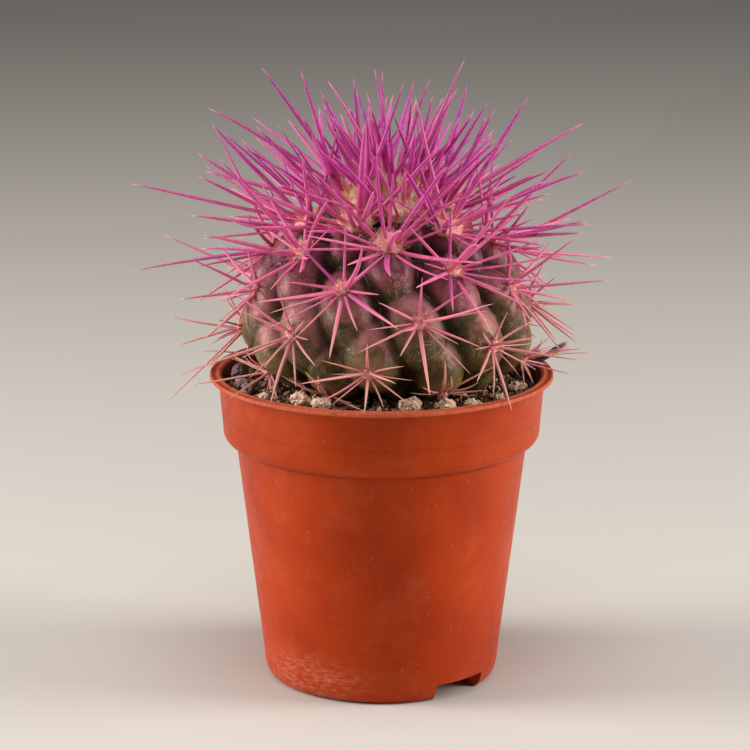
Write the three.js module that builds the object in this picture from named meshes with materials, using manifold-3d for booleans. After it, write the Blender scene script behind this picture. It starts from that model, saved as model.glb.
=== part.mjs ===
// A small round cactus with dyed spines, in soil with loose chips, in a thin plastic nursery pot.
// Millimetres, Z up. The origin is the middle of the pot's foot, on the surface that it stands on.
// The front is -Y. An azimuth is counted from the front towards +X, in degrees.
import * as THREE from 'three';
import { mergeVertices } from 'three/addons/utils/BufferGeometryUtils.js';
import Module from 'manifold-3d';

const wasm = await Module();
wasm.setup();

// General
const GAP = 0.3;                // room between pieces that rest on each other
const WELD = 1e-4;              // points closer than this are one point
const DEGREE = Math.PI / 180;
const HEXAGON = 2 / Math.sqrt(3); // square of the width of a six-sided cell of area one

// Pot: a 5.5 cm nursery pot, thin walled, with a collar and a flat lip
const POT_HEIGHT = 50;
const LIP_RADIUS = 27.5;
const LIP_THICKNESS = 0.7;
const LIP_EDGE = 0.15;          // the lip's corners are cut this far
const LIP_GROOVE = 0.12;        // depth of the shallow groove along the top of the lip
const LIP_FILLET = 0.25;
const COLLAR_TOP_RADIUS = 26.1;
const COLLAR_BOTTOM_RADIUS = 25.4;
const SHOULDER_TOP = 41;        // the collar rounds in from here
const SHOULDER_BOTTOM = 37.7;   // and meets the wall at a corner here
const SHOULDER_STEPS = 4;
const WALL_TOP_RADIUS = 23.3;
const WALL_FOOT_RADIUS = 19.0;
const FOOT_RADIUS = 17.4;
const FOOT_WALL = 1.0;
const FOOT_ROUND = 3.6;         // height over which the wall curves in to the foot
const FOOT_STEPS = 3;
const POT_WALL = 0.8;
const SHOULDER_WALL_RISE = 0.3; // the inside of the shoulder lies this much higher
const FLOOR_UNDERSIDE = 3.0;
const FLOOR_THICKNESS = 0.8;
const FLOOR_ROUND = 2;
const POT_SIDES = 48;
const NOTCH_AZIMUTHS = [43, 223];
const NOTCH_WIDTH = 9.2;
const NOTCH_HEIGHT = 2.7;
const SHALLOW_AZIMUTHS = [-20, 160];
const SHALLOW_WIDTH = 9.6;
const SHALLOW_HEIGHT = 0.35;
const CUT_DEPTH = 6;
const DRAIN_RADIUS = 1.8;
const DRAIN_CIRCLE = 9;
const DRAIN_COUNT = 4;
const DRAIN_SIDES = 10;

// Soil: level with the lip in front, lower at the back
const SOIL_AT_STEM = 47.8;
const SOIL_AT_FRONT = 48.8;
const SOIL_AT_BACK = 46.9;
const SOIL_HIGH_AZIMUTH = -20;
const SOIL_GAP = 0.5;           // to the pot's wall, measured level
const SOIL_BEVEL = 1;           // the wall of the soil ends this far below its lowest edge
const SOIL_SIDES = 40;
const SOIL_RINGS = 5;
const RING_OVERLAP = 2;         // the innermost ring lies inside the plant's hole
const CRUMB_HEIGHT = 0.12;
const CRUMB_WAVES = [1.9, 0.7, 1.6, 0.5]; // radians a millimetre
const HOLE_LEVELS = [46, 47, 48, 49, 50];
const HOLE_ROOM = 0.6;

// Cactus body: a flattened ball of knobs that follow a spiral
const BODY_X = 0.9;             // the plant sits a little to the right of the pot's middle
const BODY_Z = 58;
const BODY_RADIUS = 22.9;
const BODY_ABOVE = 19;
const BODY_BELOW = 12.5;
const BODY_SQUARENESS = 2.2;
const OUTLINE_STEPS = 400;
const OUTLINE_END = 0.97 * Math.PI;
const SKIN_DETAIL = 10;         // each edge of the icosahedron is cut this many times
const SPIRAL_TURN = 137.508;    // from one spine cushion to the next one down
const SPIRAL_AZIMUTH = 12.4;
const SPIRAL_ZERO = 26;         // the cushion that stands at SPIRAL_AZIMUTH
const SPIRAL_STEP = 1.467;
const SPIRAL_POWER = 0.912;
const CUSHIONS = 43;            // with spines, from the crown down to the soil
const LOWEST_CUSHION = 50.4;    // no cushion lies lower than this
const KNOBS = 62;               // with the bare ones that the soil hides
const KNOB_DEPTH = 0.6;
const KNOB_SQUEEZE = 1.6;       // knobs are taller than wide
const RIB_STEP = 13;            // a knob and the one this many further down stand on one rib
const RIB_TURN = 5 * 360 - RIB_STEP * SPIRAL_TURN; // and this far round
const CONE_KNOBS = [20, 36];    // from the first to the second of these, ridges turn into cones
const KNOB_ROUNDNESS = [3, 2.1];
const KNOB_BELOW_CUSHION = [0.2, -0.12]; // how far the middle of a knob lies under its cushion
const KNOB_BULGE = [0, 0.8];    // out of the smooth outline, over the soil only
const KNOB_SIGHT = 0.3;         // cosine of the angle past which a knob isn't felt
const CROWN_RADIUS = 1.2;       // the smallest ring of knobs
const GROOVE_SHARPNESS = 2.6;
const GROOVE_DEEPEST = 5;
const UNFELT = 1e-30;           // less than this is nothing
const ROOT_RADIUS = 7;
const ROOT_MIDDLE_RADIUS = 3.85;
const ROOT_TIP_RADIUS = 1.6;
const ROOT_TOP = 48;
const ROOT_SHOULDER = 45;
const ROOT_MIDDLE = 37;
const ROOT_TIP = 27;
const ROOT_SIDES = 12;

// Woolly cushions and the roots of the spines
const WOOL_RADIUS = 1.35;
const WOOL_HEIGHT = 0.8;
const WOOL_SUNK = 0.1;
const WOOL_FULL_WIDTH = 9;      // knobs narrower than this have smaller cushions
const WOOL_SMALLEST = 0.75;
const UPPER_WOOL = 0.8;         // the cushions of the upper half are this much larger
const SPINE_RING = 1.1;         // outer spines leave the cushion this far from its middle
const INNER_RING = 0.44;
const SPINE_SUNK = 1.2;
const SPINE_SUNK_IN = 0.3;
const OUTER_SPINE_RADIUS = 0.42;
const INNER_SPINE_RADIUS = 0.48;
const SPINE_SIDES = 3;

// How many spines a cushion has, how they spread in degrees and how long they are
const OUTER_SPINES = 6;
const CROWN_CUSHIONS = 4;       // the youngest cushions have fewer
const CROWN_OUTER_SPINES = 5;
const INNER_SPINES = 2;
const UPPER_CUSHIONS = 16;      // the cushions of the upper half have more
const UPPER_INNER_SPINES = 3;
const DOWN = -90;               // the first outer spine of a cushion points this way
const OUTER_SPREAD = 9;
const INNER_SPREAD = 40;
const OUTER_RISE = 24;          // out of the skin
const CROWN_RISE = 30;          // and this much more at the crown
const CROWN_RISE_FADE = 9;
const INNER_RISE = 64;
const RISE_SPREAD = 8;
const LIFT = 0.2;               // spines of the crown turn upwards
const CROWN_FADE = 14;
const OUTER_LENGTH = 6;
const CROWN_LENGTH = 14;        // and this much more at the crown
const LENGTH_FADE = 24;         // outer spines get shorter over this many cushions
const OUTER_LENGTHS = [0.84, 1.14];
const UPWARD_SHORTER = 0.4;     // lower down, outer spines that point up are this much shorter
const INNER_LENGTHS = [0.8, 1.08];
const BALL_Z = 63;              // the inner spines end near a ball round this height
const BALL_RADIUS = 41;
const BALL_HALF_HEIGHT = 34.5;
const LOW_CUSHION = 28;         // inner spines get shorter from here down
const LOW_SHORTER = 0.4;
const REACH = 40;               // no tip is further than this from the pot's axis, along X or Y
const REACH_UP = 100.8;
const SEED = 627921278;

// Long spines that stand out in the photo: [cushion, then x, y and z of the tip]
const LONG_SPINES = [
  [1, 0, 2, 98], [2, 13, -1.5, 100.8], [3, -19, -2.5, 99.5], [3, -27.5, -2.5, 93],
  [3, -4.5, -2.5, 98], [5, -8.5, -9.5, 98.5], [6, -13, 5.5, 98], [6, -28.5, 5.5, 81.5],
  [7, 13.5, 3.5, 96], [7, 32, 1.5, 90], [7, 18, 3.5, 92], [8, 3.5, -13, 99],
  [10, 23, -4.5, 95.5], [10, 31.5, -11.5, 84.5], [10, 5, -11.5, 96.5], [11, -27, -2, 90.5],
  [11, -40, -0.5, 80.5], [15, 30, -2.5, 86], [15, 32.5, -2.5, 75], [15, 32, -2.5, 73],
  [16, -25, -16.5, 87.5], [16, -27.5, -16.5, 75.5], [19, -40, 3, 65.5], [20, 40, 5.5, 80],
  [20, 38, 14.5, 65.5], [24, -31.5, -10.5, 64], [24, -30, -10.5, 70.5], [28, 31.5, 3.5, 55.5],
  [28, 31.5, 3.5, 60], [32, -35, 1.5, 44], [32, -33.5, 1.5, 53.5], [32, -34, 1.5, 58.5],
  [36, 32, -7.5, 55.5],
];

// Room that spines leave to the soil, the lip and the loose pieces
const SOIL_ROOM = 0.8;
const LIP_ROOM = 0.7;
const LIP_INSIDE = 1.4;
const CHIP_ROOM = 0.45;
const BEND_STEP = 0.09;
const BEND_TRIALS = 20;
const BEND_SHORTER = 0.7;
const CLEAR_SAMPLES = 12;

// Loose pieces on the soil: [name, azimuth, distance from the middle, length, width, height]
const CHIPS = [
  ['chip_1', -35, 21.8, 3.2, 2.6, 2.1],
  ['chip_2', -25, 22.1, 2.9, 2.2, 1.8],
  ['chip_3', -52, 23.3, 1.9, 1.5, 1.1],
  ['chip_4', 12, 21.2, 3.3, 2.4, 2.2],
  ['chip_5', 26, 22.2, 3.2, 2.2, 1.9],
  ['chip_6', 39, 22.0, 2.5, 1.7, 1.3],
  ['chip_7', 55, 22.4, 1.8, 1.4, 1.2],
  ['chip_8', 78, 22.0, 3.8, 2.6, 1.1],
  ['chip_9', 132, 22.0, 2.6, 2.1, 1.4],
  ['chip_10', 171, 22.4, 2.3, 1.8, 1.3],
  ['chip_11', 214, 22.0, 2.9, 2.0, 1.4],
  ['bark_1', -93, 22.8, 6.2, 2.7, 2.3],
  ['bark_2', -74, 22.7, 6.2, 2.4, 1.7],
];
const CHIP_ROUGHNESS = 0.14;
const CHIP_TURN = 8;
const CHIP_LIFT = 0.1;          // over the crumbs
const FLAKE_AZIMUTH = 101;      // a flake of bark that leans out over the lip
const FLAKE_INNER = [21.8, 48.75]; // distance from the middle, height
const FLAKE_OUTER = [30.2, 53.1];
const FLAKE_WIDTH = 2.2;
const FLAKE_THICKNESS = 0.9;
const FLAKE_TAPER = 0.72;
const FLAKE_SIDES = 6;
const FLAKE_BALLS = 8;          // spines keep clear of this many balls along it

// Colours, roughness
const COLOURS = {
  pot: [0xb4471f, 0.42],
  soil: [0x1d1410, 0.95],
  cactus: [0x5d6248, 0.6],
  chip: [0xc9ab84, 0.85],
  bark: [0x6d5660, 0.9],
};

// Seeded draws, the same on every run
let drawState = SEED;
function draw(low, high) {
  drawState = (Math.imul(drawState, 1664525) + 1013904223) >>> 0;
  return low + (high - low) * drawState / 4294967296;
}

function clamp(value, low, high) {
  return Math.min(high, Math.max(low, value));
}

function place(azimuth, radius, z) {
  const angle = azimuth * DEGREE;
  return new THREE.Vector3(radius * Math.sin(angle), -radius * Math.cos(angle), z);
}

// Closed geometry to a solid that can be joined and cut, and back
function solid(geometry) {
  const bare = geometry.clone();
  bare.deleteAttribute('normal');
  bare.deleteAttribute('uv');
  const merged = mergeVertices(bare, WELD);
  const index = merged.index.array;
  const kept = [];
  for (let i = 0; i < index.length; i += 3) {
    const [a, b, c] = [index[i], index[i + 1], index[i + 2]];
    if (a !== b && b !== c && c !== a) kept.push(a, b, c);
  }
  const vertProperties = new Float32Array(merged.attributes.position.array);
  return new wasm.Manifold(new wasm.Mesh({ numProp: 3, vertProperties, triVerts: new Uint32Array(kept) }));
}

function geometryOf(manifold) {
  const { vertProperties, triVerts } = manifold.getMesh();
  const geometry = new THREE.BufferGeometry();
  geometry.setAttribute('position', new THREE.BufferAttribute(new Float32Array(vertProperties), 3));
  geometry.setIndex(new THREE.BufferAttribute(new Uint32Array(triVerts), 1));
  geometry.computeVertexNormals();
  return geometry;
}

function joined(solids) {
  let list = solids;
  while (list.length > 1) {
    const next = [];
    for (let i = 0; i < list.length; i += 2) {
      next.push(i + 1 < list.length ? list[i].add(list[i + 1]) : list[i]);
    }
    list = next;
  }
  return list[0];
}

// The outer skin of the largest body: hollows that joining sealed are filled, loose scraps are dropped
function wholeBody(manifold) {
  return manifold.decompose().reduce((best, body) => (body.volume() > best.volume() ? body : best));
}

// A profile of [radius, z] points turned about the Z axis, running up on the outside
function turned(profile, sides) {
  const points = profile.map(([radius, z]) => new THREE.Vector2(radius, z));
  const geometry = new THREE.LatheGeometry(points, sides);
  geometry.rotateX(Math.PI / 2);
  return geometry;
}

function named(name, geometry, [color, roughness]) {
  const material = new THREE.MeshStandardMaterial({ color, roughness, metalness: 0 });
  const mesh = new THREE.Mesh(geometry, material);
  mesh.name = name;
  return mesh;
}

// The outside of the pot at a height: a rounded foot, a straight wall, a shoulder and a collar
function potRadius(z) {
  if (z < FOOT_ROUND) {
    const share = 1 - Math.max(z, 0) / FOOT_ROUND;
    return FOOT_RADIUS + (WALL_FOOT_RADIUS - FOOT_RADIUS) * Math.sqrt(1 - share * share);
  }
  if (z < SHOULDER_BOTTOM) {
    const share = (z - FOOT_ROUND) / (SHOULDER_BOTTOM - FOOT_ROUND);
    return WALL_FOOT_RADIUS + (WALL_TOP_RADIUS - WALL_FOOT_RADIUS) * share;
  }
  if (z < SHOULDER_TOP) {
    const share = (z - SHOULDER_BOTTOM) / (SHOULDER_TOP - SHOULDER_BOTTOM);
    return WALL_TOP_RADIUS + (COLLAR_BOTTOM_RADIUS - WALL_TOP_RADIUS) * share * (2 - share);
  }
  const share = (z - SHOULDER_TOP) / (POT_HEIGHT - LIP_THICKNESS - SHOULDER_TOP);
  return COLLAR_BOTTOM_RADIUS + (COLLAR_TOP_RADIUS - COLLAR_BOTTOM_RADIUS) * share;
}

function potInside(z) {
  return potRadius(z - SHOULDER_WALL_RISE) - POT_WALL;
}

// Heights at which the shoulder's curve has a point
function shoulderLevels() {
  const rise = (SHOULDER_TOP - SHOULDER_BOTTOM) / SHOULDER_STEPS;
  return Array.from({ length: SHOULDER_STEPS + 1 }, (_, i) => SHOULDER_BOTTOM + rise * i);
}

function potProfile() {
  const foot = [];
  for (let i = 0; i <= FOOT_STEPS; i += 1) {
    foot.push(FOOT_ROUND * (1 - Math.cos((i / FOOT_STEPS) * Math.PI / 2)));
  }
  const lipUnder = POT_HEIGHT - LIP_THICKNESS;
  const outside = [...foot, ...shoulderLevels(), lipUnder - LIP_FILLET].map((z) => [potRadius(z), z]);
  const lip = [
    [COLLAR_TOP_RADIUS + LIP_FILLET, lipUnder], [LIP_RADIUS - LIP_EDGE, lipUnder],
    [LIP_RADIUS, lipUnder + LIP_EDGE], [LIP_RADIUS, POT_HEIGHT - LIP_EDGE],
    [LIP_RADIUS - LIP_EDGE, POT_HEIGHT], [(LIP_RADIUS + COLLAR_TOP_RADIUS) / 2, POT_HEIGHT - LIP_GROOVE],
    [COLLAR_TOP_RADIUS, POT_HEIGHT], [COLLAR_TOP_RADIUS - POT_WALL / 2, POT_HEIGHT - LIP_EDGE],
  ];
  const floorTop = FLOOR_UNDERSIDE + FLOOR_THICKNESS;
  const insideLevels = [lipUnder, ...shoulderLevels().reverse().map((z) => z + SHOULDER_WALL_RISE)];
  const inside = [...insideLevels, floorTop + FLOOR_ROUND].map((z) => [potInside(z), z]);
  const footInside = FOOT_RADIUS - FOOT_WALL;
  return [
    [0, FLOOR_UNDERSIDE], [footInside, FLOOR_UNDERSIDE], [footInside, 0],
    ...outside, ...lip, ...inside, [footInside, floorTop], [0, floorTop],
  ];
}

// A block cut out of the foot ring at an azimuth
function footCut(azimuth, width, height) {
  const block = new THREE.BoxGeometry(width, CUT_DEPTH, height * 2);
  block.rotateZ(azimuth * DEGREE);
  const middle = place(azimuth, FOOT_RADIUS, 0);
  block.translate(middle.x, middle.y, middle.z);
  return solid(block);
}

function makePot() {
  let pot = solid(turned(potProfile(), POT_SIDES));
  NOTCH_AZIMUTHS.forEach((azimuth) => {
    pot = pot.subtract(footCut(azimuth, NOTCH_WIDTH, NOTCH_HEIGHT));
  });
  SHALLOW_AZIMUTHS.forEach((azimuth) => {
    pot = pot.subtract(footCut(azimuth, SHALLOW_WIDTH, SHALLOW_HEIGHT));
  });
  for (let i = 0; i < DRAIN_COUNT; i += 1) {
    const drain = new THREE.CylinderGeometry(DRAIN_RADIUS, DRAIN_RADIUS, FLOOR_UNDERSIDE, DRAIN_SIDES);
    drain.rotateX(Math.PI / 2);
    const middle = place((i + 0.5) * 360 / DRAIN_COUNT, DRAIN_CIRCLE, FLOOR_UNDERSIDE + FLOOR_THICKNESS / 2);
    drain.translate(middle.x, middle.y, middle.z);
    pot = pot.subtract(solid(drain));
  }
  return named('pot', geometryOf(pot), COLOURS.pot);
}

// Smooth outline of the cactus, which its knobs touch from inside
function outlineRadius(z) {
  const half = z > BODY_Z ? BODY_ABOVE : BODY_BELOW;
  const share = Math.abs(z - BODY_Z) / half;
  return BODY_RADIUS * Math.max(0, 1 - share ** BODY_SQUARENESS) ** (1 / BODY_SQUARENESS);
}

function outlineReach(direction) {
  const half = direction.z > 0 ? BODY_ABOVE : BODY_BELOW;
  const across = Math.hypot(direction.x, direction.y) / BODY_RADIUS;
  const along = Math.abs(direction.z) / half;
  return (across ** BODY_SQUARENESS + along ** BODY_SQUARENESS) ** (-1 / BODY_SQUARENESS);
}

// Length along the outline from the crown, as a table of [length, radius, z]
function outlineTable() {
  const table = [[0, 0, BODY_Z + BODY_ABOVE]];
  for (let i = 1; i <= OUTLINE_STEPS; i += 1) {
    const angle = OUTLINE_END * i / OUTLINE_STEPS;
    const power = 2 / BODY_SQUARENESS;
    const half = Math.cos(angle) > 0 ? BODY_ABOVE : -BODY_BELOW;
    const radius = BODY_RADIUS * Math.sin(angle) ** power;
    const z = BODY_Z + half * Math.abs(Math.cos(angle)) ** power;
    const [length, lastRadius, lastZ] = table[i - 1];
    table.push([length + Math.hypot(radius - lastRadius, z - lastZ), radius, z]);
  }
  return table;
}
const OUTLINE = outlineTable();
const LOWEST_LENGTH = OUTLINE.findLast((row) => row[2] >= LOWEST_CUSHION)[0];

function outlineAt(length) {
  const i = clamp(OUTLINE.findIndex((row) => row[0] > length), 1, OUTLINE.length - 1);
  const [low, high] = [OUTLINE[i - 1], OUTLINE[i]];
  const share = clamp((length - low[0]) / (high[0] - low[0]), 0, 1);
  return [low[1] + (high[1] - low[1]) * share, low[2] + (high[2] - low[2]) * share];
}

// Knob number n counts down from the crown along the spiral, and leans along its rib
function knobAt(n) {
  const length = Math.min(SPIRAL_STEP * n ** SPIRAL_POWER, n < CUSHIONS ? LOWEST_LENGTH : Infinity);
  const [radius, z] = outlineAt(length);
  const ribLength = SPIRAL_STEP * (n + RIB_STEP) ** SPIRAL_POWER;
  const [ribRadius] = outlineAt(ribLength);
  const lean = Math.atan2((radius + ribRadius) / 2 * RIB_TURN * DEGREE, ribLength - length);
  const cone = clamp((n - CONE_KNOBS[0]) / (CONE_KNOBS[1] - CONE_KNOBS[0]), 0, 1);
  const [roundness, below, bulge] = [KNOB_ROUNDNESS, KNOB_BELOW_CUSHION, KNOB_BULGE].map(
    ([ridge, tip]) => ridge + (tip - ridge) * cone,
  );
  const azimuth = SPIRAL_AZIMUTH - (n - SPIRAL_ZERO) * SPIRAL_TURN;
  const stepDown = SPIRAL_STEP * SPIRAL_POWER * Math.max(n, 1) ** (SPIRAL_POWER - 1);
  const width = Math.sqrt(2 * Math.PI * Math.max(radius, CROWN_RADIUS) * stepDown * HEXAGON);
  const point = place(azimuth, radius, z - BODY_Z);
  const out = point.clone().normalize();
  const side = new THREE.Vector3(Math.cos(azimuth * DEGREE), Math.sin(azimuth * DEGREE), 0);
  const up = out.clone().cross(side).normalize();
  const middle = out.clone().addScaledVector(up, -below * width / point.length()).normalize();
  const wide = side.clone().multiplyScalar(Math.cos(lean)).addScaledVector(up, Math.sin(lean));
  const tall = up.clone().multiplyScalar(Math.cos(lean)).addScaledVector(side, -Math.sin(lean));
  return { n, width, out, side, up, middle, wide, tall, roundness, bulge: n < CUSHIONS ? bulge : 0 };
}
const knobs = Array.from({ length: KNOBS }, (_, n) => knobAt(n));

// Distance from the body's centre to its skin: the knobs meet in grooves
function skinReach(direction) {
  const reach = outlineReach(direction);
  let sum = 0;
  knobs.forEach((knob) => {
    if (direction.dot(knob.middle) < KNOB_SIGHT) return;
    const across = (direction.dot(knob.wide) - knob.middle.dot(knob.wide)) * reach * KNOB_SQUEEZE;
    const along = (direction.dot(knob.tall) - knob.middle.dot(knob.tall)) * reach;
    const share = Math.hypot(across, along) / knob.width;
    const depth = KNOB_DEPTH * knob.width * share ** knob.roundness - knob.bulge;
    sum += Math.exp(-GROOVE_SHARPNESS * depth);
  });
  const drop = -Math.log(Math.max(sum, UNFELT)) / GROOVE_SHARPNESS;
  return reach - clamp(drop, -KNOB_BULGE[1], GROOVE_DEEPEST);
}

function bodyPoint(direction, extra) {
  const point = direction.clone().multiplyScalar(skinReach(direction) + extra);
  point.x += BODY_X;
  point.z += BODY_Z;
  return point;
}

function makeSkin() {
  const skin = new THREE.IcosahedronGeometry(1, SKIN_DETAIL);
  const position = skin.attributes.position;
  const direction = new THREE.Vector3();
  for (let i = 0; i < position.count; i += 1) {
    direction.fromBufferAttribute(position, i).normalize();
    const point = bodyPoint(direction, 0);
    position.setXYZ(i, point.x, point.y, point.z);
  }
  return solid(skin);
}

const ROOT_OUTLINE = [
  [ROOT_TIP_RADIUS, ROOT_TIP], [ROOT_MIDDLE_RADIUS, ROOT_MIDDLE], [ROOT_RADIUS, ROOT_SHOULDER],
];
function makeRoot() {
  const root = turned([[0, ROOT_TIP], ...ROOT_OUTLINE, [ROOT_RADIUS, ROOT_TOP], [0, ROOT_TOP]], ROOT_SIDES);
  root.translate(BODY_X, 0, 0);
  return solid(root);
}

// Height of the soil at a point: level round the plant, then up or down to the wall
const SOIL_RADIUS = potInside(SOIL_AT_FRONT) - SOIL_GAP;
const HOLE_RADIUS = outlineRadius(SOIL_AT_STEM) + HOLE_ROOM;
function soilHeight(x, y) {
  const azimuth = Math.atan2(x, -y) - SOIL_HIGH_AZIMUTH * DEGREE;
  const atWall = SOIL_AT_FRONT + (SOIL_AT_BACK - SOIL_AT_FRONT) * (1 - Math.cos(azimuth)) / 2;
  const share = clamp((Math.hypot(x, y) - HOLE_RADIUS) / (SOIL_RADIUS - HOLE_RADIUS), 0, 1);
  const [a, b, c, d] = CRUMB_WAVES;
  const crumbs = Math.sin(a * x + b * y) * Math.sin(c * y - d * x);
  return SOIL_AT_STEM + (atWall - SOIL_AT_STEM) * share + CRUMB_HEIGHT * crumbs;
}

// The chips stand on the soil, and spines keep clear of the balls that stand for them
const chips = CHIPS.map(([name, azimuth, distance, length, width, height]) => {
  const middle = place(azimuth, distance, 0);
  middle.z = soilHeight(middle.x, middle.y) + GAP + CHIP_LIFT + height / 2;
  return { name, azimuth, middle, length, width, height };
});
const flakeEnds = [FLAKE_INNER, FLAKE_OUTER].map(([radius, z]) => place(FLAKE_AZIMUTH, radius, z));
const blockers = chips.map(({ middle, length }) => ({ middle, radius: length / 2 + CHIP_ROOM }));
for (let i = 0; i <= FLAKE_BALLS; i += 1) {
  const middle = flakeEnds[0].clone().lerp(flakeEnds[1], i / FLAKE_BALLS);
  blockers.push({ middle, radius: FLAKE_WIDTH / 2 + CHIP_ROOM });
}

// A point of a spine is clear when it misses the soil, the lip and the loose pieces
function isClear(point) {
  const distance = Math.hypot(point.x, point.y);
  const overLip = distance < LIP_RADIUS + LIP_ROOM && distance > COLLAR_TOP_RADIUS - LIP_INSIDE;
  if (overLip && point.z < POT_HEIGHT + LIP_ROOM) return false;
  if (distance < COLLAR_TOP_RADIUS && point.z < soilHeight(point.x, point.y) + SOIL_ROOM) return false;
  return blockers.every(({ middle, radius }) => point.distanceTo(middle) > radius);
}

function spineClear(start, tip) {
  for (let i = 1; i <= CLEAR_SAMPLES; i += 1) {
    if (!isClear(start.clone().lerp(tip, i / CLEAR_SAMPLES))) return false;
  }
  return true;
}

// The spine keeps its length where it can, and bends up until it is clear
function clearTip(start, direction, length) {
  for (let trial = 0; trial < 2 * BEND_TRIALS; trial += 1) {
    const lean = direction.clone();
    lean.z += BEND_STEP * (trial % BEND_TRIALS);
    lean.normalize();
    const kept = trial < BEND_TRIALS ? length : length * BEND_SHORTER;
    const tip = start.clone().addScaledVector(lean, kept);
    if (spineClear(start, tip)) return tip;
  }
  return null;
}

// No tip goes past the reach, and the longest ones end on it
function withinReach(start, tip) {
  const step = tip.clone().sub(start);
  let share = 1;
  [['x', REACH], ['y', REACH], ['z', REACH_UP]].forEach(([axis, limit]) => {
    if (Math.abs(tip[axis]) > limit) {
      share = Math.min(share, (Math.sign(step[axis]) * limit - start[axis]) / step[axis]);
    }
  });
  return start.clone().addScaledVector(step, share);
}

// Length from a point along a direction to the flattened ball that the inner spines fill
function toBall(start, direction) {
  const flatten = BALL_RADIUS / BALL_HALF_HEIGHT;
  const offset = new THREE.Vector3(start.x, start.y, (start.z - BALL_Z) * flatten);
  const step = new THREE.Vector3(direction.x, direction.y, direction.z * flatten);
  const half = offset.dot(step) / step.lengthSq();
  return -half + Math.sqrt(half * half + (BALL_RADIUS ** 2 - offset.lengthSq()) / step.lengthSq());
}

// Inner spines get shorter only near the soil
function innerShare(n) {
  return 1 - LOW_SHORTER * clamp((n - LOW_CUSHION) / (CUSHIONS - LOW_CUSHION), 0, 1);
}

// Spines of one cushion: an even star of outer ones, then a few in the middle
function spinesOf({ n, out, side, up }) {
  const star = n < CROWN_CUSHIONS ? CROWN_OUTER_SPINES : OUTER_SPINES;
  const own = LONG_SPINES.filter(([cushion]) => cushion === n);
  const long = own.map(([, ...tip]) => new THREE.Vector3(...tip));
  const inner = Math.max(n < UPPER_CUSHIONS ? UPPER_INNER_SPINES : INNER_SPINES, long.length);
  const base = bodyPoint(out, 0);
  const turn = draw(0, 360);
  const old = 1 - Math.exp(-n / CROWN_FADE);
  const list = [];
  for (let i = 0; i < star + inner; i += 1) {
    const outer = i < star;
    const [first, count, spread] = outer ? [DOWN, star, OUTER_SPREAD] : [turn, inner, INNER_SPREAD];
    const around = (first + i * 360 / count + draw(-spread, spread)) * DEGREE;
    const meanRise = outer ? OUTER_RISE + CROWN_RISE * Math.exp(-n / CROWN_RISE_FADE) : INNER_RISE;
    const rise = (meanRise + draw(-RISE_SPREAD, RISE_SPREAD)) * DEGREE;
    const along = side.clone().multiplyScalar(Math.cos(around)).addScaledVector(up, Math.sin(around));
    const direction = along.clone().multiplyScalar(Math.cos(rise)).addScaledVector(out, Math.sin(rise));
    direction.z += LIFT * Math.exp(-n / CROWN_FADE);
    direction.normalize();
    const start = base.clone().addScaledVector(along, outer ? SPINE_RING : INNER_RING);
    const upward = 1 - UPWARD_SHORTER * Math.max(Math.sin(around), 0) * old;
    const outerLength = (OUTER_LENGTH + CROWN_LENGTH * Math.exp(-((n / LENGTH_FADE) ** 2))) * upward;
    const whole = outer ? outerLength : toBall(start, direction) * innerShare(n);
    const length = whole * draw(...(outer ? OUTER_LENGTHS : INNER_LENGTHS));
    const tip = long[i - star] ?? clearTip(start, direction, length);
    if (tip !== null) list.push({ outer, start, tip: withinReach(start, tip), out });
  }
  return list;
}

function spineSolid({ start, tip, out, outer }) {
  const direction = tip.clone().sub(start).normalize();
  const root = start.clone().addScaledVector(direction, -SPINE_SUNK).addScaledVector(out, -SPINE_SUNK_IN);
  const axis = tip.clone().sub(root);
  const radius = outer ? OUTER_SPINE_RADIUS : INNER_SPINE_RADIUS;
  const spine = new THREE.ConeGeometry(radius, axis.length(), SPINE_SIDES);
  const upright = new THREE.Vector3(0, 1, 0);
  spine.applyQuaternion(new THREE.Quaternion().setFromUnitVectors(upright, axis.clone().normalize()));
  const middle = root.clone().lerp(tip, 0.5);
  spine.translate(middle.x, middle.y, middle.z);
  return solid(spine);
}

function woolSolid({ n, out, side, up, width }) {
  const larger = 1 + UPPER_WOOL * Math.exp(-((n / UPPER_CUSHIONS) ** 4));
  const radius = WOOL_RADIUS * clamp(width / WOOL_FULL_WIDTH, WOOL_SMALLEST, 1) * larger;
  const wool = new THREE.IcosahedronGeometry(1, 0);
  wool.scale(radius, radius, WOOL_HEIGHT * larger);
  wool.applyMatrix4(new THREE.Matrix4().makeBasis(side, up, out).setPosition(bodyPoint(out, -WOOL_SUNK)));
  return solid(wool);
}

function makeCactus() {
  const spined = knobs.slice(0, CUSHIONS);
  const spines = spined.flatMap(spinesOf);
  const parts = [makeSkin(), makeRoot(), ...spined.map(woolSolid), ...spines.map(spineSolid)];
  return named('cactus', geometryOf(wholeBody(joined(parts))), COLOURS.cactus);
}

// A plain hole that the underside of the plant and its root stand in
function plantHole() {
  const top = POT_HEIGHT + GAP;
  const root = ROOT_OUTLINE.map(([radius, z]) => [radius + HOLE_ROOM, z - HOLE_ROOM]);
  const bowl = HOLE_LEVELS.map((z) => [outlineRadius(z) + HOLE_ROOM, z]);
  const hole = turned([
    [0, ROOT_TIP - HOLE_ROOM], ...root, ...bowl, [bowl.at(-1)[0], top], [0, top],
  ], SOIL_SIDES);
  hole.translate(BODY_X, 0, 0);
  return solid(hole);
}

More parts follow.
